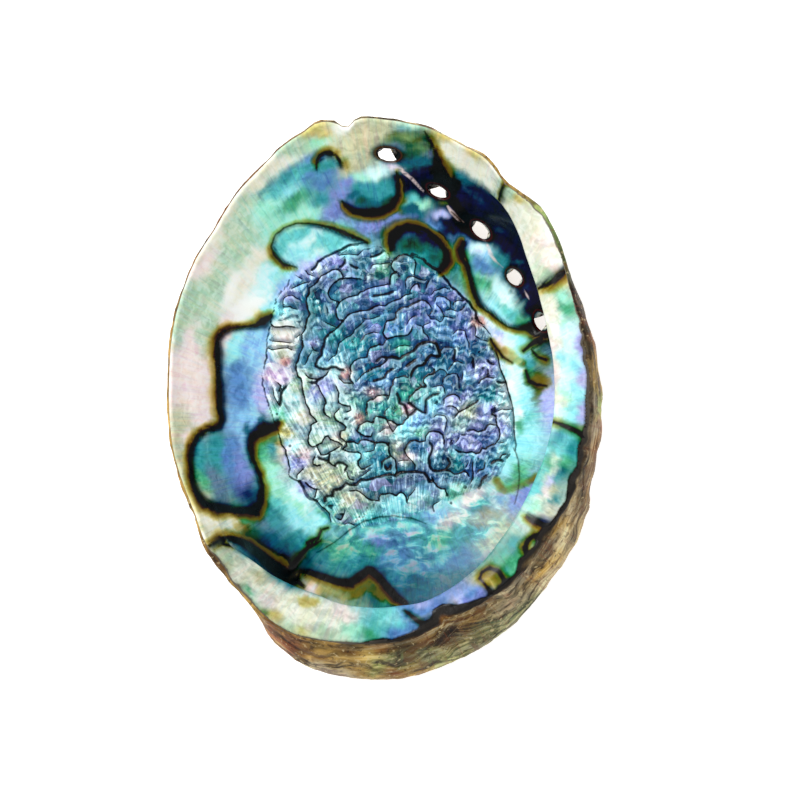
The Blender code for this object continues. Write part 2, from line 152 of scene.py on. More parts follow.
class Outline:
    """Everything that a cross-section needs, read at each direction."""

    def __init__(self, angle):
        rim = seen_from_low_point(RIM)
        edge = seen_from_low_point(SHELF_LINE)
        flank = seen_from_low_point(FLANK)
        self.rim_r = around([(d, r) for d, r, _ in rim], angle)
        self.rim_z = around([(d, z) for d, _, z in rim], angle)
        self.edge_r = around([(d, r) for d, r, _ in edge], angle)
        self.edge_z = self.rim_z - around([(d, drop) for d, _, drop in edge], angle)
        self.flank_r = around([(d, r) for d, r, _ in flank], angle)
        self.flank_z = around([(d, z) for d, _, z in flank], angle)
        self.share = np.clip(around(SHELF_SHARE, angle), 0.0, 1.0)
        self.flat = around(LIP_FLATNESS, angle)
        self.power = around(LIP_POWER, angle)


to_the_right = Outline(np.array([0.0]))
print("rim on the right, mm out and mm up:", to_the_right.rim_r.round(1), to_the_right.rim_z.round(1))

# %% [markdown]
# ## Two kinds of cross-section
# On the right the shell curls over into a flat shelf, and on the left it thins out into a plain lip.
# Each kind is a run of short curves, from the bowl up over the rim and down the outside. The two are
# blended where one gives way to the other, so the wall stays one smooth sheet all the way round.


# %% Cross-sections
def bezier(t, *controls):
    """A point on a smooth curve that the control points pull into shape."""
    degree = len(controls) - 1
    r = 0.0
    z = 0.0
    for i, (cr, cz) in enumerate(controls):
        weight = math.comb(degree, i) * t**i * (1 - t) ** (degree - i)
        r = r + weight * cr
        z = z + weight * cz
    return r, z


def offset_in(r, z, slope, thickness):
    """The inner skin, a wall's thickness in from the outer one."""
    length = np.sqrt(1 + slope * slope)
    return r - thickness * slope / length, z + thickness / length


def dome_shelf(o, s):
    """The round underside on the shelf's side, a share `s` of the way out."""
    rest = REST_RADIUS / o.flank_r
    t = np.clip((s - rest) / (1 - rest), 0.0, 0.99999)
    left = 1 - t**DOME_POWER
    z = o.flank_z * (1 - left ** (1 / DOME_POWER))
    slope = o.flank_z / (o.flank_r * (1 - rest)) * t ** (DOME_POWER - 1) * left ** (1 / DOME_POWER - 1)
    return s * o.flank_r, z, slope


def dome_lip(o, s):
    """The flatter underside on the lip's side."""
    rest = REST_RADIUS / o.rim_r
    t = np.clip((s - rest) / (1 - rest), 0.0, 1.0)
    z = o.rim_z * (o.flat * t**2 + (1 - o.flat) * t**o.power)
    rise = o.flat * 2 * t + (1 - o.flat) * o.power * t ** (o.power - 1)
    return s * o.rim_r, z, o.rim_z * rise / (o.rim_r * (1 - rest))


def inner_lip(o, s):
    thickness = WALL + (WALL_UNDER_RIM - WALL) * smooth(0.5, 0.9, s)
    thickness = thickness + (LIP - WALL_UNDER_RIM) * smooth(0.88, 1.0, s)
    return offset_in(*dome_lip(o, s), thickness)


floor_point = dome_shelf(to_the_right, 0.5)
print("half way out to the right the outside is at", [round(float(v[0]), 2) for v in floor_point[:2]], "mm")

# %% [markdown]
# ## The side with the rolled shelf
# Wall, curl, edge, shelf, rim, side and dome follow each other from the bowl, over the top and down the
# outside. Where the form turns sharply a short Bezier curve is easier to steer than a formula.

# %% Shelf side
def shelf_section(o, band, t):
    rest = REST_RADIUS / o.flank_r
    inside_r = o.flank_r - WALL
    under = (o.edge_r + 1.2, o.edge_z - SHELF_EDGE)
    nose_low = (o.edge_r - 0.5, o.edge_z - 0.9 * SHELF_EDGE)
    nose_high = (o.edge_r - 0.4, o.edge_z)
    tip = (o.edge_r + 0.5, o.edge_z)
    crest = (o.rim_r - 1.6, o.rim_z - 0.2)
    brow = (o.rim_r + 0.5, o.rim_z - 1.4)
    flank = (o.flank_r, o.flank_z)
    if band in ("wall", "dome"):
        local = (REACH - rest) / (1 - rest)
        turn = np.arcsin(local ** (DOME_POWER / 2))
        turn = turn + (math.pi / 2 - turn) * (t if band == "wall" else 1 - t)
        s = rest + (1 - rest) * np.sin(turn) ** (2 / DOME_POWER)
        r, z, slope = dome_shelf(o, s)
        return offset_in(r, z, slope, WALL) if band == "wall" else (r, z)
    if band == "curl":
        up = (inside_r, o.flank_z + 0.62 * (o.rim_z - o.flank_z - 4.0))
        over = (0.35 * o.edge_r + 0.65 * o.rim_r, o.rim_z - 5.2)
        return bezier(t, (inside_r, o.flank_z), up, over, under)
    if band == "edge":
        return bezier(t, under, nose_low, nose_high, tip)
    if band == "shelf":
        r, z = bezier(t, tip, crest)
        return r, z + 0.7 * np.sin(math.pi * t) ** 2
    if band == "rim":
        return bezier(t, crest, (o.rim_r - 0.1, o.rim_z + 0.3), brow)
    shoulder = (0.5 * (o.rim_r + o.flank_r) + 1.5, 0.6 * o.rim_z + 0.4 * o.flank_z)
    return bezier(t, brow, shoulder, (o.flank_r, o.flank_z + 5.0), flank)


shelf_tip = shelf_section(to_the_right, "shelf", 0.0)
print("shelf tip on the right, mm:", [round(float(v[0]), 2) for v in shelf_tip])

# %% [markdown]
# ## The side with the plain lip
# Here the wall simply thins out, so the inside is the outside moved in by the wall's thickness, and the
# rim is a half circle from one to the other. The bands keep their names, so both sides have equal rows.

# %% Lip side
# Shares of the way out at which the inner bands begin and end, and at which the outer side begins.
LIP_RUNS = {"wall": (REACH, 0.86), "curl": (0.86, 0.93), "edge": (0.93, 0.945), "shelf": (0.945, 1.0)}
LIP_SIDE = 0.93


def lip_section(o, band, t):
    if band in LIP_RUNS:
        start, end = LIP_RUNS[band]
        return inner_lip(o, start + (end - start) * t)
    if band == "side":
        return dome_lip(o, 1.0 - 0.07 * t)[:2]
    if band == "dome":
        return dome_lip(o, LIP_SIDE + (REACH - LIP_SIDE) * t)[:2]
    inner = inner_lip(o, 1.0)
    outer = dome_lip(o, 1.0)
    length = np.sqrt(1 + outer[2] ** 2)
    bulge = 0.6 * LIP * np.sin(math.pi * t)
    middle_r = 0.5 * (inner[0] + outer[0])
    middle_z = 0.5 * (inner[1] + outer[1])
    swing = np.cos(math.pi * t)
    r = middle_r + swing * (inner[0] - middle_r) + bulge / length
    return r, middle_z + swing * (inner[1] - middle_z) + bulge * outer[2] / length


def mixed(o, first, second):
    """One cross-section out of both kinds, by the share of shelf."""
    r = o.share * first[0] + (1 - o.share) * second[0]
    return r, o.share * first[1] + (1 - o.share) * second[1]


left_rim = lip_section(Outline(np.array([math.pi])), "rim", 0.5)
print("rim on the left, mm out and mm up:", [round(float(v[0]), 2) for v in left_rim])

# %% [markdown]
# ## Marks laid out on a squared sheet
# The pearl's markings follow no simple rule, so they are laid out as a sign painter would: a sheet of 800 by
# 800 squares, each about 0.3 mm, lies over the shell as seen from a point one metre above it. A mark is a few
# places on that sheet and a width, with the numbers of one place written close together.
# The fine dark lines of the muscle scar come first. They are the edges of thin overlapping scales, so the
# same lines colour the pearl and raise its surface.

# %% Lines of the muscle scar
SCAR_EDGE = groups((
    350,243, 335,252, 315,262, 300,275, 290,285, 280,300, 273,315, 270,330, 268,345, 264,375, 263,385,
    268,400, 277,425, 280,440, 288,465, 298,482, 315,503, 331,522, 360,528, 400,520, 440,505, 465,495,
    500,475, 515,440, 513,410, 505,360, 485,325, 470,303, 452,285, 440,272, 425,268, 405,254, 392,258,
    375,248, 360,250,
), 2)
# A scale edge is its half width and then its places, each one right and down.
THIN = 0.55
BOLD = 1.0
HEAVY = 1.7
SCAR_LINES = (
    (HEAVY, 367,244, 360,244, 350,245, 346,247, 341,250, 336,252, 332,254, 325,257, 321,260, 318,262,
     316,267, 312,270),
    (THIN, 340,255, 349,254, 358,255, 361,252, 364,249, 369,249, 373,247, 376,246, 380,247, 383,249, 386,252,
     389,254, 389,257),
    (BOLD, 289,280, 288,285, 284,289, 280,293, 279,295, 276,299, 276,303, 274,306, 274,310, 272,315, 271,320,
     271,324, 274,327, 280,327, 287,326, 294,327),
    (BOLD, 270,326, 269,330, 268,336, 267,340, 267,348, 266,353, 267,358, 265,362, 264,366, 263,370, 262,376,
     263,380, 262,384, 264,388, 265,394, 267,399, 269,406, 272,414, 275,423, 278,430, 280,438, 281,444,
     286,450, 286,454, 288,459, 289,465, 290,468, 289,472, 289,476, 292,478, 296,480, 299,481),
    (HEAVY, 299,481, 301,484, 303,487, 304,490, 306,494, 309,498, 314,500, 317,501),
    (THIN, 317,501, 321,506, 325,509, 329,513, 330,517, 331,522),
    (THIN, 283,307, 283,301, 284,298, 287,296, 292,295, 295,297, 298,299),
    (THIN, 283,307, 287,307, 290,306, 292,308, 296,309),
    (BOLD, 293,288, 299,285, 304,283, 308,282),
    (THIN, 304,270, 306,271, 308,274, 311,275, 313,276),
    (THIN, 295,275, 302,279),
    (THIN, 272,341, 284,342, 290,343),
    (THIN, 267,347, 272,350, 277,349, 283,348, 288,348, 292,350),
    (BOLD, 343,279, 343,276, 341,272, 337,269, 332,270, 327,273, 321,276, 319,279, 317,282, 314,285, 309,288,
     309,294, 307,297, 306,301, 307,305, 308,310, 310,314, 307,319, 306,324, 305,330, 302,334, 302,340,
     303,347, 301,351, 299,356, 298,361, 296,364, 296,368, 297,373, 298,377, 301,378, 302,382, 302,386,
     303,392, 305,399, 306,404, 309,409, 310,414, 314,418, 317,422, 314,423, 311,425, 311,430, 309,434,
     308,440, 309,444, 312,447, 316,446, 319,444, 322,443, 323,440, 325,437, 328,436, 330,439, 334,441,
     338,442, 342,445),
    (THIN, 302,334, 299,335, 297,337),
    (BOLD, 360,279, 352,278, 347,278, 340,279, 333,284, 330,288, 328,293, 329,296, 331,299, 336,301, 340,302,
     344,299, 348,297, 353,296, 358,295, 360,292, 364,291, 367,289, 374,287, 379,286, 385,285, 388,284),
    (BOLD, 340,302, 338,305, 336,309, 336,313, 337,317, 339,320, 344,320),
    (BOLD, 321,378, 318,379, 314,379, 309,378, 306,375),
    (BOLD, 328,335, 330,333, 335,330, 338,327, 344,320, 348,315, 352,313, 360,311, 369,310, 374,307, 379,305,
     385,306, 389,303, 393,301, 400,299, 405,295, 410,294),
    (HEAVY, 328,335, 325,339, 324,345, 322,350, 322,355, 318,359, 316,363, 316,366, 319,368, 324,369,
     328,369, 331,367, 336,367, 339,369, 343,370),
    (THIN, 325,322, 331,325, 336,327),
    (THIN, 327,308, 328,313),
    (THIN, 329,360, 332,357, 336,355, 337,351, 338,347, 339,343, 343,340, 347,337, 350,336, 353,333, 355,329,
     360,325, 364,321),
    (THIN, 363,318, 366,319, 370,319, 374,318, 379,316),
    (THIN, 362,340, 365,335, 370,333, 374,332, 378,333),
    (BOLD, 380,344, 376,346, 372,347, 369,349, 368,353, 367,357, 363,358, 359,358, 354,361, 351,365, 350,368,
     351,372, 350,376, 350,380, 353,383, 347,383, 344,383),
    (THIN, 370,348, 373,346, 378,345, 383,345, 386,340),
)
print("scale edges so far:", len(SCAR_LINES))

# %% [markdown]
# ## Scale edges in the upper middle
# These run from the top of the scar down its middle.

# %% Scar, upper middle
SCAR_LINES += (
    (HEAVY, 345,260, 345,263, 342,266, 340,267),
    (HEAVY, 351,265, 354,267, 357,268),
    (HEAVY, 371,257, 376,256, 380,254, 383,251),
    (THIN, 371,268, 372,265, 376,264, 381,264, 386,263, 391,263),
    (HEAVY, 374,296, 381,295, 388,294, 393,292),
    (BOLD, 414,275, 415,269, 416,264, 415,260, 412,257, 408,255, 404,254, 399,256, 396,259, 393,261, 391,265,
     392,268, 394,271, 397,272, 392,274, 390,278, 390,284),
    (HEAVY, 412,254, 417,256, 422,258, 426,262, 430,266, 434,268, 440,271, 444,277, 448,282, 451,287,
     456,290, 463,298, 469,302, 472,307, 476,312, 476,318),
    (THIN, 406,287, 405,282, 407,278, 411,276, 415,277, 419,279, 423,280, 426,280),
    (BOLD, 410,291, 412,287, 415,284, 418,284, 419,287),
    (THIN, 426,288, 427,284, 429,281),
    (THIN, 432,294, 434,291, 440,289, 445,287, 448,289),
    (THIN, 435,301, 436,297, 439,296, 445,297, 450,301, 451,307),
    (THIN, 437,305, 440,308, 442,311, 444,316, 448,317, 453,318),
    (BOLD, 431,307, 429,304, 426,301, 421,300, 417,302, 412,304, 408,307, 403,307, 398,310, 396,313, 396,318,
     393,320, 387,321, 385,324, 384,329, 383,333, 385,337, 387,339, 393,337, 398,336, 404,336, 408,335,
     411,331, 412,328),
    (THIN, 407,324, 409,320, 412,317, 415,316),
    (THIN, 418,325, 422,326, 423,329, 424,333, 427,335, 429,339),
    (THIN, 423,327, 424,325, 429,323),
    (THIN, 428,315, 431,319, 436,319, 440,322, 442,321, 444,317),
    (THIN, 432,311, 429,316),
    (THIN, 396,348, 399,346, 405,345, 409,346),
    (HEAVY, 377,361, 380,358, 382,357, 387,358, 392,357, 396,358, 400,359, 403,356, 408,354, 413,351,
     417,347, 420,344, 426,342, 431,342, 436,344, 438,348, 439,352, 440,356, 436,356, 431,355, 428,358,
     426,361, 423,365, 418,366, 414,369, 412,372, 411,376),
    (BOLD, 358,380, 361,376, 364,373, 370,370, 376,367, 380,366, 384,363, 387,360),
    (HEAVY, 374,381, 377,380, 381,379, 385,377, 386,374, 389,371, 393,369),
    (BOLD, 388,399, 389,396, 390,391, 390,388, 391,387, 393,385, 393,381, 395,378, 399,377, 404,376,
     407,377),
    (BOLD, 388,396, 385,395, 382,395, 377,396, 374,399, 370,400, 367,402, 367,407, 366,410, 367,414),
    (BOLD, 420,385, 422,387, 426,387, 426,385, 423,382, 424,378, 428,375, 433,374, 435,371, 434,369),
    (BOLD, 421,387, 415,391, 413,394, 410,396, 409,399, 409,403),
    (HEAVY, 397,394, 399,399, 399,403, 404,405, 406,409, 407,413, 408,416, 412,414, 417,409),
    (HEAVY, 409,403, 414,407, 417,409, 422,412, 426,413, 426,408, 426,404, 426,400, 430,397, 433,395,
     438,394),
    (BOLD, 408,418, 404,421, 403,424, 399,425, 396,424, 392,421, 387,420, 385,418, 380,417, 376,416, 374,419,
     373,423, 367,421, 363,423, 359,426, 357,431, 361,434, 365,436, 371,437, 372,434),
    (THIN, 387,421, 390,427, 393,432, 395,429, 398,425),
    (THIN, 389,428, 385,428, 382,430, 380,432),
    (THIN, 385,414, 385,411, 388,408),
    (BOLD, 345,442, 349,442, 354,442, 358,444, 361,440, 366,440, 371,441, 376,443, 382,442, 386,443, 389,446,
     389,449, 389,453, 391,456, 395,459, 396,463, 396,467, 397,471, 395,475),
    (THIN, 375,442, 375,446, 374,450, 371,451, 366,452),
    (BOLD, 405,449, 407,445, 411,441, 415,440, 420,442, 425,441, 426,436, 429,432, 433,431, 439,432, 443,435,
     444,440, 444,444),
    (HEAVY, 430,443, 432,446, 432,450, 431,453, 429,458, 429,463, 430,467, 433,471, 439,471, 445,470,
     448,467, 450,463, 448,459),
    (BOLD, 445,470, 450,471, 454,474, 458,474, 461,473, 464,471, 467,473, 469,476),
    (THIN, 434,417, 436,415, 440,415, 445,416, 447,420, 446,425, 445,430),
    (THIN, 433,387, 437,386, 442,385, 444,388, 445,393),
    (THIN, 436,372, 440,369, 444,370, 446,372, 447,375, 443,379, 443,382),
    (THIN, 447,375, 451,374, 453,373, 457,374, 459,378, 459,382, 459,387),
    (THIN, 455,394, 451,395, 446,397, 444,399, 444,403),
    (THIN, 440,352, 444,347, 450,347, 453,348),
    (THIN, 449,369, 451,366, 454,362, 458,361, 462,363),
    (HEAVY, 407,366, 411,363, 415,360),
    (HEAVY, 455,350, 455,354, 454,359),
)
print("scale edges so far:", len(SCAR_LINES))

# %% [markdown]
# ## Scale edges on the left and at the low end
# These follow the left side of the scar down and round its low end.

# %% Scar, left and low end
SCAR_LINES += (
    (THIN, 311,353, 308,357, 307,361, 305,364),
    (THIN, 312,347, 314,350, 317,351),
    (HEAVY, 312,383, 316,383, 318,380, 322,378),
    (BOLD, 328,372, 326,375, 322,378),
    (BOLD, 318,385, 320,390, 322,394, 325,399, 326,403, 324,407, 324,412, 326,415, 329,417),
    (BOLD, 336,386, 338,391, 339,393, 338,399, 339,403, 343,405, 347,406, 350,406, 351,410, 347,412),
    (THIN, 339,378, 343,382),
    (BOLD, 339,409, 335,413, 334,416, 336,420, 339,422, 343,424, 346,427, 345,430, 341,431, 340,435, 341,438,
     346,442, 347,446, 343,449),
    (THIN, 365,373, 361,376, 358,380),
    (BOLD, 317,447, 319,451, 321,455, 324,455, 328,454, 330,452, 334,450, 339,447),
    (BOLD, 344,450, 349,452, 353,452, 358,452, 361,454, 361,458, 358,461, 358,465, 361,469, 365,469, 367,467,
     371,465),
    (BOLD, 315,457, 313,460, 313,464, 317,466, 320,465),
    (HEAVY, 319,458, 321,459, 325,460, 328,461),
    (BOLD, 330,454, 329,458, 329,462, 332,465, 335,466),
    (HEAVY, 335,466, 337,463, 343,463, 347,466, 345,470),
    (THIN, 347,472, 348,476, 350,479, 354,480),
    (BOLD, 382,467, 382,462, 385,459, 390,457),
    (HEAVY, 385,467, 387,470, 390,469, 391,466),
    (BOLD, 303,469, 300,472, 297,475, 297,478),
    (BOLD, 306,483, 309,486, 314,489, 317,489, 316,493, 315,497),
    (HEAVY, 325,501, 325,498, 328,496, 333,496, 333,492, 334,490, 340,489, 343,487, 346,483, 350,485,
     356,485, 358,483, 361,480, 367,480, 372,479, 376,477, 382,476, 386,475, 390,474, 393,475, 396,476,
     399,473, 404,472, 408,472, 413,472, 418,472, 424,473, 426,475, 428,478, 429,482, 433,481),
    (THIN, 362,476, 367,472, 370,470),
    (BOLD, 350,491, 356,490, 360,492, 365,496, 367,498, 371,500, 374,500, 379,501, 379,497, 381,494, 385,494,
     390,493, 393,494, 396,496, 398,494, 401,492, 404,494, 406,497, 407,502),
    (THIN, 407,502, 409,496, 412,493, 415,489),
    (THIN, 404,450, 407,456, 412,461, 415,465, 415,470),
    (THIN, 399,461, 404,460, 408,460),
    (BOLD, 432,478, 434,482, 437,486, 441,489, 445,489, 446,492, 447,495),
    (BOLD, 278,383, 281,386, 279,391),
    (HEAVY, 286,387, 282,391, 281,396, 281,400, 280,405),
    (THIN, 273,389, 274,396, 277,402, 279,405),
)
print("scale edges so far:", len(SCAR_LINES))

# %% [markdown]
# ## Scale edges on the right
# The last ones follow the right side of the scar down. A few dots mark pits between the scales.

# %% Scar, right
SCAR_LINES += (
    (THIN, 454,333, 457,330, 462,330, 465,331, 466,335, 467,339, 469,343, 469,347),
    (THIN, 453,305, 454,302, 459,300, 463,301),
    (THIN, 447,310, 451,309, 456,311),
    (BOLD, 461,310, 464,307),
    (THIN, 475,326, 476,330, 475,336, 479,338),
    (BOLD, 476,315, 479,322, 482,324),
    (THIN, 483,326, 487,330, 490,334),
    (THIN, 481,340, 484,340, 487,341),
    (BOLD, 491,339, 495,348, 498,357, 500,368, 503,375, 506,382, 508,391, 510,397, 512,404, 513,410, 514,417,
     514,424, 514,429, 515,438, 516,445, 515,451),
    (THIN, 415,347, 419,343),
    (THIN, 440,352, 441,349),
    (THIN, 425,360, 428,356, 432,354),
    (HEAVY, 488,361, 490,363, 493,364),
    (HEAVY, 473,359, 473,363, 474,367),
    (BOLD, 479,383, 481,380, 486,377, 488,374, 488,370),
    (BOLD, 486,377, 493,378),
    (BOLD, 478,401, 475,403, 470,406, 465,409, 461,411, 459,412),
    (BOLD, 448,406, 452,406, 456,408, 459,412, 457,414, 455,417),
    (THIN, 444,399, 447,396, 452,394, 456,395, 459,397, 460,400),
    (HEAVY, 495,408, 494,412, 492,414, 496,416),
    (BOLD, 496,416, 496,420, 497,425, 499,429, 500,434, 499,439, 495,444, 491,445, 487,447, 486,449, 482,448,
     480,452, 476,454, 473,452, 470,452, 467,453, 463,452, 459,452, 456,450),
    (BOLD, 468,431, 470,430, 474,430, 478,432, 481,431, 485,430, 487,426, 490,424, 494,425, 497,425),
    (BOLD, 462,435, 465,435),
    (THIN, 459,438, 456,442),
    (THIN, 498,411, 502,409, 506,410, 511,409),
    (HEAVY, 498,382, 502,383, 505,382),
    (THIN, 501,392, 504,392),
    (THIN, 462,379, 463,373),
    (THIN, 500,443, 504,442),
    (BOLD, 473,462, 472,466, 473,472, 473,478, 471,482),
    (THIN, 468,463, 466,467),
    (BOLD, 485,463, 484,468, 483,469, 479,470, 478,472),
    (HEAVY, 492,463, 495,461, 499,460, 502,461),
    (BOLD, 500,458, 502,455, 506,454),
    (BOLD, 507,458, 510,454),
    (HEAVY, 486,476, 482,480, 481,484, 479,488),
    (THIN, 433,506, 434,504, 438,502),
    (BOLD, 433,506, 433,508, 434,511),
    (BOLD, 338,519, 341,520, 344,514, 341,514),
    (HEAVY, 329,506, 332,506),
    (THIN, 345,524, 347,523, 350,523, 354,525),
)
SCAR_SPOTS = groups((
    343,321,2.2, 361,275,1.2, 399,276,1.6, 411,299,1.4, 459,348,1.2, 479,352,1.2, 486,350,1.2, 311,375,2,
    316,342,1.4, 288,347,1.2, 277,414,1.8, 389,443,1.2, 345,419,1.2, 451,443,1.8, 437,402,1.6, 447,495,1.6,
    465,487,2, 359,517,1.2, 363,517,1, 364,514,1, 356,521,1.2, 367,508,1.4, 290,446,1.8, 331,507,2,
    483,368,1.6, 488,375,2, 503,383,1.6, 493,411,3, 451,503,1.6, 482,482,2.4,
), 3)
print("scale edges traced on the scar:", len(SCAR_LINES), "pits:", len(SCAR_SPOTS))

# %% [markdown]
# ## Dark strokes
# An abalone lays down dark horny layers between its pearl, and they show as brown-black strokes. Most of them
# follow the edge of a hollow: on the hollow's side the pearl gets a painted deep blue shade, and on the other
# side it thins to amber. So each stroke is told which side its hollow is on (1 or -1, 2 for painted shade on
# both sides, 0 for a little of each), and is then a run of places on the sheet, each one right, down and half
# width. The shelf hides part of the bowl under it, so it has strokes of its own.

# %% Strokes of horny layer
BOWL_STROKES = (
    (1, 316.5,171,0.4, 316,163,0.9, 319.5,156,1.1, 327,150.5,1.2, 335,154.5,1.3, 341.5,163,1.2, 344,170,0.5),
    (-1, 343,202,0.5, 346,206,1.3, 353,212,1.8, 366,215,2.1, 381,213.5,2, 393,207,1.6, 398.5,196,1.1,
     399,183,0.7, 396,172,0.4),
    (1, 296,267,0.5, 284,264.5,1.1, 274,255.5,0.9, 271,246,0.7, 275,235.5,0.6, 284,227.5,0.6, 296,223.5,0.6,
     308,223.5,0.7, 320,225,1, 333,228,1.3, 346,233,1.6, 357,238,1.4, 367,242.5,0.8),
    (1, 391,249,1.5, 390,243,2.1, 391.5,235,3.4, 398,229,3, 406,226,2.1, 415,226,1.4, 428,230,0.9,
     440,240,0.9, 447.5,252,1.3, 448.5,262,1.6, 443,269,1.6, 440,272,1),
    (1, 424,131,0.3, 429,138,0.6, 434,148,1.1, 437.5,157,1.7, 440,165,2.2, 445,173,2.8),
    (2, 437,160,1.3, 439,170,2.2, 446,178,3, 453,183,1.8),
    (2, 457,183,1.4, 453,190,0.9, 451,198,0.9, 457,208,0.9, 464,217,1.2, 474,221,0.8),
    (2, 452,213,0.4, 459,219,1.2, 466,228,2.2, 475,236,1.8, 484,239,1, 489,241,0.4),
    (-1, 463,243,1.5, 460,250,1.9, 462,258,1.8, 466,266,1.2, 469,277,1.3, 473,293,1.7, 478.5,304.5,1.8,
     486,311,1, 492,314.5,1.1, 499,321,0.9, 508,327,0.8, 518,329,1.4, 526,329,2.2, 533,333,1.8, 545,336,1.4),
    (0, 492,341,0.7, 498,350,1.2, 503,357,1.3, 511,362,0.8),
    (0, 524,350,1.2, 533,343,1.9, 541,338,1.8),
    (0, 532,350,0.6, 538,357,1.1, 546,360,1.2),
    (0, 526,372,0.8, 529,381,1.6, 537,385,1.2, 546,386,0.6),
    (-1, 270,316,1.5, 263,321,3.2, 256,325,1.6, 245,326.5,1, 231,328,1.2, 222,332,1.6, 216.5,340,1.8,
     217,355,2.6, 217.5,373,1.9, 218.5,391,2.7, 219,408,2.6, 222,419,1.6, 219,426,1.6, 207,429.5,1.4,
     197,436,1.5, 191,446.5,1.6, 189.5,461,1.7, 191,479,1.6, 195.5,493,2.1, 204,504,2.6, 219,509.5,2.9,
     234,511,2.1, 246,511.5,1.8, 256,512.5,2.6, 262,503,1.9, 263,488,1.6, 260,473,1.5, 254,461,1.4,
     251.5,449,1.7, 251.5,441,1.9, 257,434,3.2, 266,430.5,3.8, 273.5,428,3, 278,423,1.6),
    (1, 206,548,0.6, 213,543,1.4, 220,538,1.8, 231,537,1.8, 243,541,1.8, 257,550,2.6, 272,562,3.4,
     287,572,3.2, 296,578,1.9),
    (-1, 300,572,0.8, 308,573,1.4, 322,578,1.9, 337,583,2.3, 351,584,2.5, 361,577,2.3, 369,571,2,
     378,578,1.9, 387,589,2, 395,598,1.8, 404,604,1.2),
    (0, 327,528,0.7, 321,530,1.1, 318.5,537,1.2, 308,542,1),
    (0, 320,541,0.8, 308,547,1.6, 297,560,1.9, 291,572,2.2, 296,580,1.6, 304,586,1.2),
    (2, 318,552,0.1, 335,542,0.2, 350,530,0.3, 365,521,0.3, 380,517,0.3, 395,516,0.2, 412,518,0.2,
     425,523,0.1),
    (2, 514,449,0.1, 518.5,460,0.2, 519.5,473,0.2, 518.5,487,0.2, 515,503,0.1),
)
print("strokes in the bowl:", len(BOWL_STROKES))

# %% [markdown]
# ## Amber and painted ridge highlights
# Where the pearl is thin the horny layer shines through as amber, also away from a stroke, so some amber is
# laid on its own in the same way. The shelf's strokes and amber follow, and last the thin pale lines of
# painted highlight on the ridges.

# %% Amber, shelf strokes and painted ridge highlights
BOWL_AMBER = (
    (0, 463,261,1.6, 467,278,2, 469,292,1.8, 476,306,1.2),
    (0, 236,526,1.5, 246,531,2),
    (0, 318,590,1, 330,593,2.5, 342,595,3.5, 354,594,3.5, 366,586,2.5, 374,588,2.5, 382,598,2),
    (0, 497,481,1.2, 501,487,1.4, 505,490,1.2, 517,487,1, 537,477,1),
    (0, 266,438,1.6, 280,441,1.6),
    (0, 530,374,2.2, 538,379,3, 546,382,2.4),
    (0, 504,350,1, 512,356,1.4, 522,364,1.4),
)
SHELF_STROKES = (
    (1, 499,200,1.4, 497,194,2.4, 498,189,2.2, 501,184.5,1.8, 506,182,1.2),
    (-1, 539,288,1.2, 547,285,1.9, 554.5,280,2.1, 562,274,2, 568,269,2.2),
    (0, 555,422.5,1.2, 565,426,1.8, 574,430,2.2, 584,436,3),
    (-1, 528,517,1.2, 536,522,2.2, 545,526,2.6, 553,527,2.6),
    (0, 527,556,2, 525,548,2.6, 528,540,2, 534,535,1.8, 541,537,1.8, 541,545,2.4),
    (0, 492,594,1.6, 486,586,1.1, 480,579,1.1, 482,572,1.2, 490,568,1.4, 499,571,1.8, 504,580,2.2,
     505,590,2.4),
    (0, 405,611,0.6, 413,617,1.2, 422,624,1.4),
    (0, 430,622,2.4, 442,615,2, 452,610,3, 462,612,1),
    (0, 214,546,1.6, 222,544,1.6, 232,546,0.8),
)
SHELF_AMBER = (
    (0, 497,198,1, 498,189,1.3, 502,184,1.3, 508,183,1),
    (0, 541,291,1.5, 552,287,2, 564,278,2),
    (0, 303,601,1.8, 310,603,2, 318,601,1.2),
    (0, 484,576,1, 492,574,1.4, 498,582,1.2),
)
# The ridge between the holes gets thin pale lines of painted highlight, where it would catch the light.
RIDGE_HIGHLIGHTS = (
    (0, 395.7,164,0.4, 404,172,1.2, 412,179,1, 419,187,0.6, 424,192,0.1),
    (0, 447.5,206,0.3, 451,212,1.1, 458,219,0.9, 463.5,223,0.1),
    (0, 487.5,244,0.3, 490,253,1.1, 496,263,0.8, 503,268,0.1),
    (0, 519,283,0.1, 524,292,0.6, 530,299,0.1),
)
print("strokes on the shelf:", len(SHELF_STROKES), "pale lines:", len(RIDGE_HIGHLIGHTS))
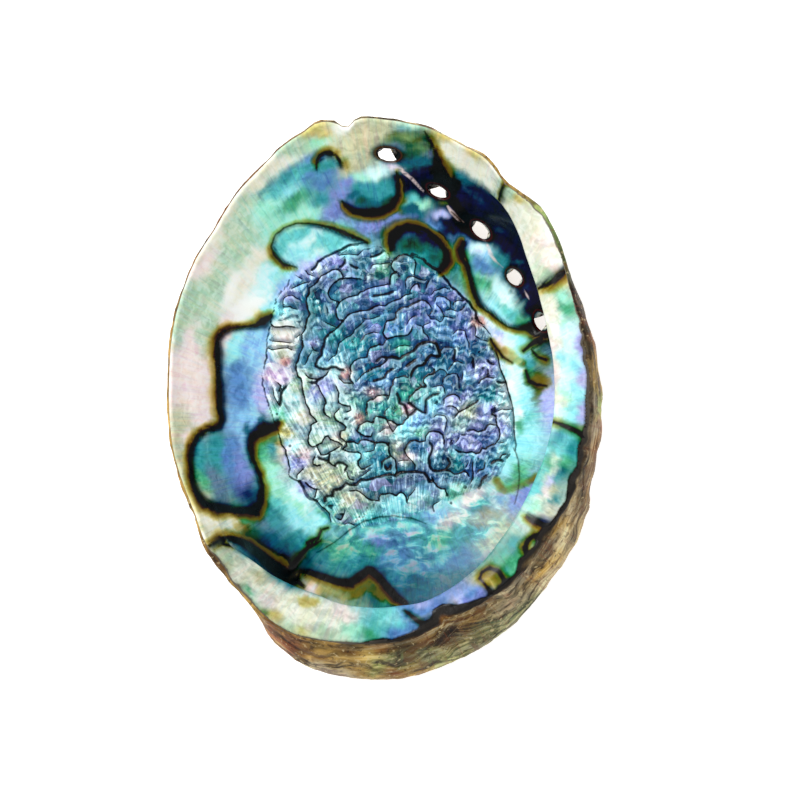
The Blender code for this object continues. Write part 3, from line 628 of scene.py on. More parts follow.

# %% [markdown]
# ## Soft colours
# The pearl's own colours change softly from place to place, and so do the highlights and shade painted into
# some of them, so they are given as patches: a colour from a small named palette, a place on the sheet and
# how far it spreads. The shelf covers part of the bowl on the sheet, so it has patches of its own.

# %% Soft colours of the pearl
PALETTE = {
    "white": (250, 248, 240),
    "cream": (236, 226, 204),
    "blush": (240, 212, 208),
    "rose": (222, 178, 178),
    "salmon": (232, 160, 138),
    "sand": (205, 190, 150),
    "sage": (188, 202, 170),
    "moss": (120, 140, 80),
    "olive": (100, 100, 38),
    "gold": (212, 182, 92),
    "mint": (160, 226, 196),
    "green": (62, 160, 112),
    "fir": (18, 78, 62),
    "ice": (212, 242, 242),
    "cyan": (148, 224, 232),
    "turquoise": (84, 190, 190),
    "teal": (38, 140, 148),
    "petrol": (18, 88, 108),
    "dusk": (60, 66, 92),
    "navy": (30, 37, 60),
    "blue": (70, 118, 184),
    "sky": (132, 184, 230),
    "violet": (112, 116, 192),
    "lavender": (176, 166, 226),
    "lilac": (226, 196, 222),
    "slate": (96, 112, 140),
    "silver": (182, 200, 200),
    "steel": (70, 106, 142),
    "deep": (20, 52, 84),
    "ink": (14, 16, 20),
    "tar": (24, 20, 16),
    "umber": (30, 18, 8),
    "pitch": (46, 39, 30),
    "peat": (78, 60, 20),
    "honey": (172, 144, 52),
    "bark": (96, 58, 12),
    "amber": (166, 122, 34),
    "straw": (230, 214, 120),
    "rust": (124, 64, 38),
    "ridge": (164, 132, 66),
    "chalk": (216, 196, 146),
    "lead": (112, 104, 92),
    "lichen": (92, 112, 78),
}
print("colours on the palette:", len(PALETTE))

# %% [markdown]
# ## Patches in the bowl
# Each patch is right, down and spread, in squares. A real shell's colours have no drawn edge, and patches
# that blend by nearness have none either.

# %% Bowl patches
# Some patches are painted light and shade. The small ice, lavender, mint and lilac patches by the holes and
# the bump are painted highlights, and so are the white and ice patches on the upper left slope. The navy,
# dusk, deep and petrol patches on the steep wall by the holes and under the shelf are partly painted shade.
BOWL_WASHES = {
    "white": (512,382,5, 522,412,5, 506,352,5, 240,312,9, 255,300,8, 345,128,6, 232,288,9),
    "cream": (259,258,6, 270,165,10, 215,232,10, 238,285,9, 205,540,9, 196,510,7, 452,150,8, 468,161,6,
        482,173,5, 493,186,4, 285,345,8, 340,598,9, 280,330,6, 200,255,8, 226,214,9, 258,184,9, 305,420,8,
        236,525,6, 207,525,7),
    "blush": (190,345,10, 180,372,10, 176,395,9, 200,262,8, 226,328,9, 470,500,6, 452,520,6, 315,588,5,
        203,380,8, 200,408,8, 284,338,5, 188,440,5),
    "rose": (378,400,5, 391,428,5, 375,392,5, 305,455,7, 405,455,6),
    "salmon": (409,409,5, 476,323,4, 285,360,3, 343,373,4, 358,418,4),
    "sand": (178,420,8, 187,468,7, 195,498,6, 203,528,6, 352,165,7, 345,150,7, 362,130,10, 385,130,10,
        330,480,10, 320,468,8, 355,498,9, 485,520,9, 492,538,8, 468,410,6, 400,450,8, 340,440,8, 282,455,8),
    "lichen": (412,135,6, 425,146,5, 400,136,4),
    "sage": (290,142,10, 246,205,8, 232,250,9, 215,292,9, 205,330,9, 185,322,9, 195,300,9, 300,385,7,
        330,420,9, 318,440,8, 345,470,9, 340,510,8, 408,128,8, 232,225,8),
    "moss": (404,140,8, 420,150,7, 388,268,8, 352,601,6, 300,600,6, 348,592,5),
    "olive": (416,143,4, 402,199,3, 398,210,3, 444,203,3, 335,597,6, 322,594,5, 246,528,4, 538,385,7,
        395,138,5),
    "gold": (308,130,7, 445,138,6, 470,152,5, 290,432,6, 325,134,5),
    "mint": (420,203,3.5, 362,178,4, 300,215,9, 268,205,8, 270,470,8, 275,490,8, 285,225,8, 280,412,7,
        318,140,5, 420,432,6, 300,508,8, 455,497,7, 380,260,5),
    "green": (199,476,6, 292,200,8, 265,455,8, 378,408,10, 392,412,8, 415,393,8, 368,550,9, 440,540,9,
        402,348,8, 385,600,7, 484,285,6, 242,520,6, 330,512,8, 520,322,5, 465,255,6, 516,480,6, 338,550,8,
        520,425,6),
    "fir": (360,203,5, 384,203,4, 412,148,6, 400,143,5, 374,206,6, 392,200,4, 418,152,5, 415,247,8,
        408,157,7, 432,255,8, 246,536,7, 378,598,7, 426,142,5, 254,538,6, 390,604,6),
    "ice": (302,245,6, 318,252,5, 284,392,6, 292,446,6, 262,288,8, 505,300,6, 310,240,7, 497,290,6,
        480,249,5, 503,332,8, 508,345,8, 505,400,9, 512,375,8, 512,420,8, 335,372,5, 290,400,6, 300,500,8,
        455,505,6, 262,278,8, 376,172,5),
    "cyan": (270,310,9, 300,250,8, 345,250,7, 235,345,8, 275,275,8, 520,345,7, 512,450,8, 300,520,9,
        320,520,8, 400,505,8, 430,400,7, 405,432,8, 450,505,6, 500,318,6, 288,190,6, 360,455,7, 522,440,7,
        525,405,7),
    "turquoise": (413,200,4, 275,190,9, 330,246,8, 320,240,8, 285,248,8, 510,312,6, 478,532,9, 420,540,10,
        370,530,10, 440,560,10, 330,505,7, 405,130,6, 525,415,6, 300,175,8, 272,500,8, 300,232,7, 462,535,8,
        480,505,5, 412,520,8),
    "teal": (262,188,7, 306,172,7, 322,200,6, 268,524,8, 362,190,5, 380,186,5, 196,450,6, 200,462,6,
        285,177,8, 328,165,8, 375,192,9, 215,450,8, 275,450,7, 308,350,9, 345,340,10, 358,345,9, 500,262,6,
        400,570,10, 360,560,10, 305,545,10, 424,254,8, 385,470,8, 452,178,7, 380,455,8, 355,440,8, 460,465,8,
        490,395,7, 530,370,6, 262,512,7),
    "petrol": (276,542,8, 300,548,7, 405,160,6, 422,162,6, 412,208,5, 352,196,5, 520,262,3, 452,174,5,
        464,180,5, 430,592,13, 458,588,12, 480,576,8, 400,600,8, 375,204,7, 310,300,8, 285,565,8, 262,500,8,
        430,580,10, 410,575,9, 388,232,6, 248,430,6, 395,360,10, 370,370,8, 300,560,8, 250,552,8, 425,590,9,
        262,424,5),
    "navy": (406,184,6, 400,176,4, 424,190,6, 418,230,5, 432,238,6, 452,232,6, 440,192,6, 476,190,6,
        487,200,6, 440,180,8, 452,203,8, 470,207,8, 486,225,8, 505,240,8, 520,270,6, 528,292,7, 535,312,7,
        250,490,8, 256,505,6, 415,178,6, 533,330,6, 462,193,8, 495,208,8, 448,222,6, 286,578,6, 430,172,6,
        490,212,8, 508,232,8, 520,255,8, 512,226,6, 530,280,7, 538,300,6, 474,200,5, 500,222,7, 542,318,6),
    "blue": (314,158,5, 322,184,5, 330,172,5, 420,570,12, 450,562,9, 395,566,9, 310,176,7, 238,372,9,
        232,460,8, 480,262,6, 430,225,5, 385,330,9, 400,545,10, 450,560,9, 415,445,7, 240,400,8, 462,240,6,
        380,380,8, 470,470,6, 395,558,10, 500,500,5),
    "sky": (250,350,9, 252,418,8, 485,255,5, 300,285,5, 262,340,7, 285,285,6, 425,408,6, 432,515,8,
        240,420,7, 325,350,6, 415,425,7),
    "violet": (336,196,6, 348,182,4, 340,210,8, 375,224,7, 398,224,7, 244,470,8, 380,295,9, 435,305,9,
        455,330,9, 380,540,8, 246,484,7, 480,440,8, 520,500,6, 424,320,8, 410,533,6),
    "steel": (350,290,8, 410,300,9, 350,330,7, 470,350,9, 440,370,9, 390,315,8, 330,290,8, 460,385,8,
        400,545,8, 430,560,9, 420,345,8, 375,345,8),
    "lavender": (441,214,3.5, 480,251,3, 262,395,8, 285,293,8, 330,262,8, 310,275,7, 312,345,6, 285,460,6,
        500,335,6, 548,398,6, 480,370,8, 320,390,7, 490,410,8, 440,432,8, 455,400,7, 315,265,7, 300,462,6,
        504,425,7, 470,440,8, 305,490,6),
    "lilac": (280,378,7, 394,166,3, 272,375,5, 286,450,5, 500,345,5),
    "slate": (396,150,6, 404,132,5, 430,155,5, 370,258,7, 350,290,6, 212,478,5, 222,498,6, 265,525,8,
        400,480,10, 370,485,9, 430,485,9, 400,450,6, 398,268,7, 365,305,7, 445,470,8, 385,230,5),
    "dusk": (470,190,6, 480,200,6, 500,231,5, 430,231,4, 525,286,4, 452,206,3),
    "deep": (288,556,8, 270,548,6, 420,600,7, 440,600,8, 405,590,6, 460,592,6, 382,570,5, 478,582,5,
        258,545,7, 262,500,5),
    "silver": (288,408,7, 296,428,7, 318,455,7, 330,400,8, 325,430,8, 310,430,7, 278,395,7, 345,420,7,
        350,455,7, 330,452,7, 495,505,7, 285,480,5, 460,425,6, 420,500,8),
}
print("patches in the bowl:", sum(len(spots) // 3 for spots in BOWL_WASHES.values()))

# %% [markdown]
# ## Patches on the shelf
# The shelf is older, thicker pearl, cream and pale green, with blue and violet at the bottom.

# %% Shelf patches
# The white patches on the shelf are partly painted highlight.
SHELF_WASHES = {
    "white": (560,262,6, 548,232,6, 556,330,5),
    "cream": (550,308,6, 556,352,5, 554,395,6, 556,318,5, 560,345,5, 549,508,5, 530,552,4, 562,400,4,
        520,215,9, 535,232,9, 548,252,8, 528,228,7, 240,572,9, 262,590,10, 285,606,10, 310,615,10, 330,622,9,
        548,330,6, 252,566,7, 300,622,8),
    "blush": (545,245,7, 555,265,6, 548,350,7, 556,372,7, 270,600,8, 545,495,7, 556,345,5, 345,615,7,
        540,240,6),
    "sage": (552,474,6, 546,500,6, 556,458,5, 538,522,6, 528,545,5, 512,192,6, 505,186,6, 552,278,6,
        325,632,7, 536,560,7, 295,625,7, 228,560,5, 252,598,5),
    "moss": (506,183,4, 264,612,4),
    "gold": (300,628,6, 518,202,4, 275,616,5, 488,582,6, 560,275,4),
    "mint": (564,300,4, 350,628,7, 566,325,4, 564,395,5, 538,505,6),
    "green": (566,306,5, 532,538,5, 515,560,7, 525,550,6, 565,462,6, 368,632,6, 250,592,4, 548,465,6,
        508,575,6),
    "ice": (568,330,6, 572,350,7, 565,380,7, 556,415,6),
    "cyan": (575,360,6, 578,395,6, 570,410,6, 562,355,6, 390,618,8, 545,450,5),
    "turquoise": (568,440,8, 560,450,7, 398,622,8, 376,624,9, 545,470,6, 385,614,8, 535,490,6, 528,570,5),
    "teal": (560,440,7, 572,448,6, 552,500,6, 262,560,8, 285,575,8, 245,552,6, 500,575,6, 558,478,6,
        520,545,6),
    "petrol": (275,564,7, 292,580,6, 255,552,6, 562,470,5),
    "blue": (415,622,10, 428,615,10, 450,610,9, 398,632,8, 410,612,8, 470,598,7),
    "violet": (430,622,9, 440,612,8, 470,603,8, 485,596,6, 455,615,7),
    "lavender": (582,345,5, 584,380,5, 552,480,6, 420,608,6, 582,410,5, 545,520,6, 530,560,5, 460,600,6),
    "sand": (548,515,7, 538,530,6, 258,580,7, 230,566,6, 552,490,6),
}
print("patches on the shelf:", sum(len(spots) // 3 for spots in SHELF_WASHES.values()))

# %% [markdown]
# ## Reading the sheet
# Every point of the shell finds its square on the sheet, and from there its distance to each mark. Distances
# are better than painted colours, because the material can turn them into a crisp line or a soft amber edge
# at any zoom.

# %% Sheet squares and distances
SQUARES = 3193.0
EYE = 1000.0
SHEET_MIDDLE = 400
EYE_RIGHT = 4.2
NO_MARK = 99.0
NO_EDGE = 40.0
HILL_TABLE = 32


def on_sheet(points):
    """Sheet squares, right and down, for points in outline millimetres."""
    depth = EYE - points[:, 2]
    right = SHEET_MIDDLE + (points[:, 0] + SHIFT[0] - EYE_RIGHT) * SQUARES / depth
    return right, SHEET_MIDDLE - (points[:, 1] + SHIFT[1]) * SQUARES / depth


def hills(points, size, seed):
    """Smooth random hills about `size` across, between -1 and 1."""
    table = np.random.default_rng(seed).uniform(-1, 1, (HILL_TABLE, HILL_TABLE, HILL_TABLE))
    at = points / size + 100.0
    cell = np.floor(at).astype(int)
    t = at - cell
    t = t * t * (3 - 2 * t)
    total = np.zeros(len(points))
    for i in (0, 1):
        for j in (0, 1):
            for k in (0, 1):
                weight = np.abs(1 - i - t[:, 0]) * np.abs(1 - j - t[:, 1]) * np.abs(1 - k - t[:, 2])
                corner = (cell + (i, j, k)) % HILL_TABLE
                total += weight * table[corner[:, 0], corner[:, 1], corner[:, 2]]
    return total


LOW_PLACE = np.array([[LOW_POINT[0], LOW_POINT[1], 4.0]])
print("sheet square at the low point:", [round(float(c[0]), 1) for c in on_sheet(LOW_PLACE)])

# %% [markdown]
# ## Distances to the strokes
# A stroke is a chain of straight pieces with a width at each end. The nearest piece gives the distance to the
# stroke's edge and the side, and the side decides whether the pearl turns to amber or takes a painted deep
# blue shade.

# %% Stroke distances
def segment_gap(x, y, start, end):
    """Distance to a straight piece of line, and which side of it each point is on."""
    dx = end[0] - start[0]
    dy = end[1] - start[1]
    t = np.clip(((x - start[0]) * dx + (y - start[1]) * dy) / max(dx * dx + dy * dy, 1e-9), 0.0, 1.0)
    gap = np.hypot(x - start[0] - t * dx, y - start[1] - t * dy)
    return gap, np.sign(dx * (y - start[1]) - dy * (x - start[0]))


def stroke_marks(x, y, strokes):
    """Distances to the nearest stroke's edge and its middle line, its half width, its amber and its painted
    shade.
    """
    edge = np.full(x.shape, NO_MARK)
    middle = np.full(x.shape, NO_MARK)
    half_width = np.ones(x.shape)
    amber = np.zeros(x.shape)
    shade = np.zeros(x.shape)
    for hollow, *numbers in strokes:
        line = groups(numbers, 3)
        best = np.full(x.shape, NO_MARK)
        facing = np.zeros(x.shape)
        off_line = np.full(x.shape, NO_MARK)
        width = np.ones(x.shape)
        for start, end in zip(line, line[1:]):
            dx = end[0] - start[0]
            dy = end[1] - start[1]
            length = math.hypot(dx, dy)
            t = np.clip(((x - start[0]) * dx + (y - start[1]) * dy) / length**2, 0.0, 1.0)
            half = start[2] + (end[2] - start[2]) * t
            gap = np.hypot(x - start[0] - t * dx, y - start[1] - t * dy) - half
            signed = (dx * (y - start[1]) - dy * (x - start[0])) / length
            lean = np.clip(signed / 2.5, -1.0, 1.0)
            closer = gap < best
            off_line = np.where(closer, signed, off_line)
            facing = np.where(closer, lean * hollow if abs(hollow) < 2 else 1.0, facing)
            width = np.where(closer, half, width)
            best = np.minimum(best, gap)
        away = np.maximum(best, 0.0)
        strength = np.minimum(width / 0.8, 1.0)
        amber_fade = np.exp(-((away / (2.6 + 1.4 * width)) ** 2))
        shade_fade = np.exp(-((away / (2.6 + 1.6 * width)) ** 2))
        # Amber goes to the open side, and painted shade goes to the hollow side.
        amber = np.maximum(amber, (0.5 - 0.5 * facing) * strength * amber_fade)
        shade = np.maximum(shade, (0.5 + 0.5 * facing) * strength * shade_fade)
        nearest = best < edge
        middle = np.where(nearest, off_line, middle)
        half_width = np.where(nearest, width, half_width)
        edge = np.minimum(edge, best)
    return edge, middle, half_width, amber, shade


FIRST_STROKE = np.array([BOWL_STROKES[0][1:3]], float).T
print("a stroke's edge from its own start, squares:", stroke_marks(*FIRST_STROKE, BOWL_STROKES)[0].round(2))

# %% [markdown]
# ## Distances to the scar's scales
# The traced scale edges come first. Where they leave room, rows of small round scales fill in, each row
# bent round the low end of the scar.

# %% Scale distances
def edge_lines(x, y, lines):
    """Signed distance to the nearest scale edge, plain distance less its half width."""
    signed = np.full(x.shape, NO_EDGE)
    nearest = np.full(x.shape, NO_EDGE)
    inked = np.full(x.shape, NO_EDGE)
    for half, *numbers in lines:
        points = groups(numbers, 2)
        run = np.diff(np.array(points, float), axis=0)
        facing = np.sign((-run[:, 1] + 1.3 * run[:, 0]).sum() or 1.0)
        for start, end in zip(points, points[1:]):
            gap, side = segment_gap(x, y, start, end)
            closer = gap < nearest
            nearest = np.where(closer, gap, nearest)
            signed = np.where(closer, gap * np.where(side == 0, 1, side) * facing, signed)
            inked = np.minimum(inked, gap - half)
    return signed, nearest, inked


SCALE_FOOT = (440.0, 560.0)
SCALE_TURN = 220.0
SCALE_WIDTH = 12.0
SCALE_PITCH = 9.0
SCALE_SAG = 4.0


def small_scales(points, x, y):
    """Signed distance to small round scales in rows that bend round the low end of the scar."""
    foot_x, foot_y = SCALE_FOOT
    from_end = np.hypot(x - foot_x, y - foot_y)
    u = SCALE_TURN * np.arctan2(x - foot_x, foot_y - y) + 7.0 * hills(points, 4.0, 51)
    v = -from_end + 6.0 * hills(points, 4.5, 52)
    offsets = np.random.default_rng(53).uniform(0.0, 1.0, 128)
    best = np.full(x.shape, NO_EDGE)
    first = np.floor(v / SCALE_PITCH).astype(int)
    for step in (-1, 0, 1, 2):
        scale_row = first + step
        phase = u / SCALE_WIDTH + offsets[scale_row % 128]
        swing = 2 * (phase - np.floor(phase)) - 1
        edge = scale_row * SCALE_PITCH - SCALE_SAG * (1 - swing**2)
        gap = (v - edge) / np.sqrt(1 + (1.3 * swing) ** 2)
        best = np.where(np.abs(gap) < np.abs(best), gap, best)
    return best


print("the nearest small scale's edge to the low point, squares:",
      small_scales(LOW_PLACE, *on_sheet(LOW_PLACE)).round(2))

# %% [markdown]
# ## Inside and outside the scar
# Small scales fill in only inside the scar's outline and away from the traced edges. How far inside an
# outline a point lies also tells the pearl from the crust later.

# %% Scar distances
def scar_scales(points, x, y):
    """The traced scale edges, with small scales where the traced ones leave room."""
    signed, nearest, inked = edge_lines(x, y, SCAR_LINES)
    for px, py, half in SCAR_SPOTS:
        inked = np.minimum(inked, np.hypot(x - px, y - py) - half)
    small = small_scales(points, x, y)
    depth = outline_depth(x, y, SCAR_EDGE)
    room = np.where((x > 428) | (y > 470), 3.0, 5.5)
    fits = (nearest > room) & (depth > 3.0) & ((x > 345) | (y < 330)) & (y < 478)
    signed = np.where(fits, small, signed)
    nearest = np.where(fits, np.abs(small), nearest)
    inked = np.minimum(inked, np.where(fits, np.abs(small) + 1.2, NO_EDGE))
    return depth, signed, nearest, inked


def inside(x, y, line):
    """Whether each point lies inside a closed line."""
    odd = np.zeros(x.shape, bool)
    for (x0, y0), (x1, y1) in zip(line, line[1:] + line[:1]):
        if y0 == y1:
            continue
        crosses = (y0 > y) != (y1 > y)
        odd ^= crosses & (x < x0 + (y - y0) * (x1 - x0) / (y1 - y0))
    return odd


def outline_depth(x, y, line):
    """How far inside a closed line each point lies, negative outside it."""
    gap = np.full(x.shape, 999.0)
    for start, end in zip(line, line[1:] + line[:1]):
        gap = np.minimum(gap, segment_gap(x, y, start, end)[0])
    return np.where(inside(x, y, line), gap, -gap)


low_depth = outline_depth(*on_sheet(LOW_PLACE), SCAR_EDGE)
print("squares from the low point to the scar's outline:", low_depth.round(1))

# %% [markdown]
# ## Blending the patches
# Every patch pulls on every point, and the pull drops fast with distance. Light values are blended and not
# screen values, because that is how real colours mix on a surface.

# %% Blended colours
def linear(colour):
    """A named colour's light values from its screen values."""
    value = np.array(colour, float) / 255.0
    return np.where(value <= 0.04045, value / 12.92, ((value + 0.055) / 1.055) ** 2.4)


def wash(x, y, washes, run, stretch):
    """The soft colour at each point, from patches drawn out along the direction `run`."""
    total = np.zeros((len(x), 3))
    weights = np.zeros(len(x))
    for name, spots in washes.items():
        colour = linear(PALETTE[name])
        for px, py, spread in groups(spots, 3):
            along = ((x - px) * run[0] + (y - py) * run[1]) / stretch
            across = (x - px) * run[1] - (y - py) * run[0]
            weight = ((along**2 + across**2) / spread**2 + 0.25) ** -2.4
            total += weight[:, None] * colour
            weights += weight
    return total / weights[:, None]


def mixed_in(low, high, share):
    """From `low` to `high` as the share goes from 0 to 1."""
    return low + (high - low) * share


print("light values of teal:", linear(PALETTE["teal"]).round(3))

# %% [markdown]
# ## A block folded into a shell
# A clean way to a closed shell with even faces is to start from a cube, divide its faces into a lattice and
# then move each lattice point to its place on the shell. The top face becomes the floor of the bowl, the
# sides become the wall, shelf, rim and outside, and the bottom face becomes the underside. The floor and the
# lower wall are divided once more, and the part of the floor that will carry the muscle scar a second time,
# because the scar has the finest lines.

# %% The lattice block
CELLS = 76
BANDS = {"wall": 10, "curl": 9, "edge": 4, "shelf": 10, "rim": 5, "side": 11, "dome": 14}
ROWS = sum(BANDS.values())
FIRST_ROW = {}
for band_name in BANDS:
    FIRST_ROW[band_name] = sum(BANDS[name] for name in list(BANDS)[: list(BANDS).index(band_name)])
FINE_ROWS = 9


def lattice_block():
    bm = bmesh.new()
    bmesh.ops.create_cube(bm, size=2.0)
    upright = [e for e in bm.edges if abs(e.verts[0].co.z - e.verts[1].co.z) > 1.0]
    bmesh.ops.subdivide_edges(bm, edges=upright, cuts=ROWS - 1)
    level = [e for e in bm.edges if abs(e.verts[0].co.z - e.verts[1].co.z) < 1e-6]
    bmesh.ops.subdivide_edges(bm, edges=level, cuts=CELLS - 1, use_grid_fill=True)
    fine_from = 1 - 2 * FINE_ROWS / ROWS - 1e-4
    fine = [e for e in bm.edges if min(v.co.z for v in e.verts) > fine_from]
    bmesh.ops.subdivide_edges(bm, edges=fine, cuts=1, use_grid_fill=True)
    return bm


print("rows from the floor to the underside:", ROWS, "cells along each side:", CELLS)

# %% [markdown]
# ## Where each lattice point goes
# The four sides of the block become four quarters of the circle, so a point's place on the block gives its
# direction. Its row gives the band, and the band's curve on both kinds of side gives its place.

# %% Folding
def fold(points):
    """Each lattice point's place on the shell, which skin it is on, its row and its direction."""
    u, v, level = points.T
    reach = np.maximum(np.abs(u), np.abs(v))
    top = level > 1 - 1e-6
    bottom = level < -1 + 1e-6
    right = (u >= np.abs(v)) & (u > 0)
    back = (v >= np.abs(u)) & ~right
    left = (-u >= np.abs(v)) & ~right & ~back
    safe = np.maximum(reach, 1e-9)
    angle = np.select((right, back, left), (v / safe, 2 - u / safe, 4 - v / safe), 6 + u / safe) * math.pi / 4
    o = Outline(angle)
    s = reach * REACH
    r, z = mixed(o, dome_shelf(o, s)[:2], dome_lip(o, s)[:2])
    floor_r, floor_z = mixed(o, offset_in(*dome_shelf(o, s), WALL), inner_lip(o, s))
    r = np.where(top, floor_r, r)
    z = np.where(top, floor_z, z)
    skin = np.where(top, 1.0, -1.0)
    row = (1 - level) / 2 * ROWS
    for band, count in BANDS.items():
        first = FIRST_ROW[band]
        here = ~top & ~bottom & (row > first + 1e-4) & (row < first + count + 1e-4)
        t = np.clip((row - first) / count, 0.0, 1.0)
        band_r, band_z = mixed(o, shelf_section(o, band, t), lip_section(o, band, t))
        r = np.where(here, band_r, r)
        z = np.where(here, band_z, z)
        if band in ("wall", "curl"):
            skin = np.where(here, 1.0 if band == "wall" else 1.0 - t, skin)
        elif band in ("edge", "shelf", "rim"):
            skin = np.where(here, 0.0, skin)
        elif band == "side":
            skin = np.where(here, -t, skin)
    row = np.where(top, -10.0 * (1 - reach), np.where(bottom, ROWS + 10.0 * (1 - reach), row))
    x = LOW_POINT[0] + r * np.cos(angle)
    y = LOW_POINT[1] + r * np.sin(angle)
    return np.stack([x, y, z], axis=1), skin, row, angle, r


print("the block's top middle goes to", fold(np.array([[0.01, 0.0, 1.0]]))[0].round(2), "mm")

# %% [markdown]
# ## Folding the block
# The part of the floor under the scar is found by folding once, divided again, and then everything is
# folded for good. Each point keeps its direction out of the surface, which the relief needs.

# %% Folded shell
shell_bm = lattice_block()
lattice = np.array([vert.co[:] for vert in shell_bm.verts])
by_scar = outline_depth(*on_sheet(fold(lattice)[0]), SCAR_EDGE) > -5.0
by_scar &= lattice[:, 2] > 1 - 1e-6
scar_verts = {vert for vert, close in zip(shell_bm.verts, by_scar) if close}
scar_edges = [e for e in shell_bm.edges if e.verts[0] in scar_verts and e.verts[1] in scar_verts]
bmesh.ops.subdivide_edges(shell_bm, edges=scar_edges, cuts=1, use_grid_fill=True)
lattice = np.array([vert.co[:] for vert in shell_bm.verts])
base, skin, row, angle, radius = fold(lattice)
for vert, point in zip(shell_bm.verts, base):
    vert.co = point
shell_bm.normal_update()
base_normal = np.array([vert.normal[:] for vert in shell_bm.verts])
outline = Outline(angle)
print("faces in the folded block:", len(shell_bm.faces))

# %% [markdown]
# ## Raising the surface
# Relief is a height along the surface's own normal. Inside, the scar stands up as a plate covered in thin
# scales, each with a step at its traced edge. The bowl dips round each open hole, and a pit runs up into the
# spire. Outside, growth lines lie parallel to the lip, broad cords follow the spiral, and the line of holes
# stands up as a keel that carries a knob for every healed hole.

# %% Holes, spire and seam
# A hole is right, up, length, width and turn in degrees. The notch is right, half width, depth and reach.
HOLES = (
    (-3.6, 74.5, 7.0, 3.7, -8.0),
    (11.6, 63.9, 6.6, 3.2, -26.0),
    (24.9, 52.2, 7.0, 3.9, -42.0),
    (35.4, 37.9, 6.0, 4.0, -50.0),
    (43.6, 24.2, 6.4, 3.6, -66.0),
)
NOTCH = (-16.4, 3.1, 2.7, 8.0)
HEALED_LINE = (
    (48.0, 11.0), (51.0, -3.0), (51.0, -17.0), (48.0, -31.0), (41.5, -43.0), (32.5, -54.0), (20.0, -62.5),
    (6.0, -67.0), (-9.0, -68.0), (-21.5, -65.0), (-29.5, -58.5),
)
SPIRE = (-31.0, -56.0)
SEAM = ((-17.0, -57.0), (-20.5, -48.0), (-29.5, -43.0), (-41.0, -44.0), (-51.0, -48.5), (-58.0, -51.0))
SPIRAL_RATE = 0.424
SPIRAL_START = -2.2
WHORL_AT_LIP = 4.385
GROWTH_LEAN = 0.66


def line_gap(x, y, line):
    """Distance to an open line, and the share of its length where the nearest point lies."""
    lengths = [math.dist(a, b) for a, b in zip(line, line[1:])]
    best = np.full(x.shape, 1e9)
    along = np.zeros(x.shape)
    done = 0.0
    for start, end, length in zip(line, line[1:], lengths):
        t = ((x - start[0]) * (end[0] - start[0]) + (y - start[1]) * (end[1] - start[1])) / length**2
        t = np.clip(t, 0.0, 1.0)
        gap = np.hypot(x - start[0] - t * (end[0] - start[0]), y - start[1] - t * (end[1] - start[1]))
        along = np.where(gap < best, (done + t * length) / sum(lengths), along)
        best = np.minimum(best, gap)
        done += length
    return best, along


def bump(x, y, spot, spread):
    """1 at a spot, fading to 0 round it."""
    return np.exp(-((x - spot[0]) ** 2 + (y - spot[1]) ** 2) / spread)


print("open holes:", len(HOLES), "healed holes in a line of mm:",
      round(sum(math.dist(a, b) for a, b in zip(HEALED_LINE, HEALED_LINE[1:])), 1))

# %% [markdown]
# ## Relief in the bowl
# All heights are millimetres. The scar's plate swells in low waves, every scale stands up on one side of
# its edge, and the pearl between is gently uneven.

# %% Bowl relief
def bowl_relief(points, sx, sy):
    x, y, _ = points.T
    depth, signed, nearest, _ = scar_scales(points, sx, sy)
    plate = smooth(-4.0, 9.0, depth)
    height = 0.7 * plate
    bow = y + 0.45 * np.abs(x + 20.0) * (x < -20.0) - 0.006 * (x - 2.0) ** 2
    bow = bow + 1.6 * np.sin(0.31 * x + 0.7) + 1.2 * np.sin(0.52 * x - 0.13 * y)
    swell = 2 * math.pi * bow / 11.5
    height = height + 0.35 * plate * (np.sin(swell) - 0.3 * np.sin(2 * swell))
    step = np.where(signed > 0, 0.24 * np.exp(-signed / 9.0), -0.12 * np.exp(signed / 5.0))
    height = height + step - 0.14 * np.exp(-((nearest / 0.9) ** 2))
    height = height + plate * (0.10 * hills(points, 1.6, 11) + 0.12 * hills(points, 4.0, 12))
    height = height + 0.22 * hills(points, 14.0, 13) + 0.07 * hills(points, 5.0, 14) * (1 - plate)
    for hole in HOLES:
        height = height - 1.1 * bump(x, y, (hole[0] - 1.5, hole[1] - 1.5), 26.0)
    for first, second in zip(HOLES, HOLES[1:]):
        height = height + 0.9 * bump(x, y, (0.5 * (first[0] + second[0]), 0.5 * (first[1] + second[1])), 16.0)
    height = height - 2.6 * bump(x, y, (SPIRE[0] + 1.0, SPIRE[1]), 34.0)
    fold_line, _ = line_gap(x, y, ((-21.5, -39.5), (-25.0, -43.0), (-29.0, -47.0), (-32.0, -52.5)))
    return height + 1.3 * np.exp(-((fold_line / 2.2) ** 2)) * (1 + 0.5 * hills(points, 2.2, 15))


print("height at the low point, mm:", bowl_relief(LOW_PLACE, *on_sheet(LOW_PLACE)).round(2))

# %% [markdown]
# ## Relief on the outside
# A snail's shell grows in a spiral whose whorls widen at a steady rate, so the logarithm of the distance
# from the spire less a share of the turn stays the same along a cord. Growth lines cross the cords.

# %% Crust relief
def growth_lines(x, y):
    """Coordinates across the growth lines and across the spiral cords."""
    dx = x - SPIRE[0]
    dy = y - SPIRE[1]
    turn = np.arctan2(dy, dx)
    turn = np.where(turn < SPIRAL_START, turn + 2 * math.pi, turn)
    whorl = np.log(np.maximum(np.hypot(dx, dy), 1.0)) - SPIRAL_RATE * turn
    return turn + GROWTH_LEAN * (whorl - WHORL_AT_LIP), whorl, np.hypot(dx, dy)


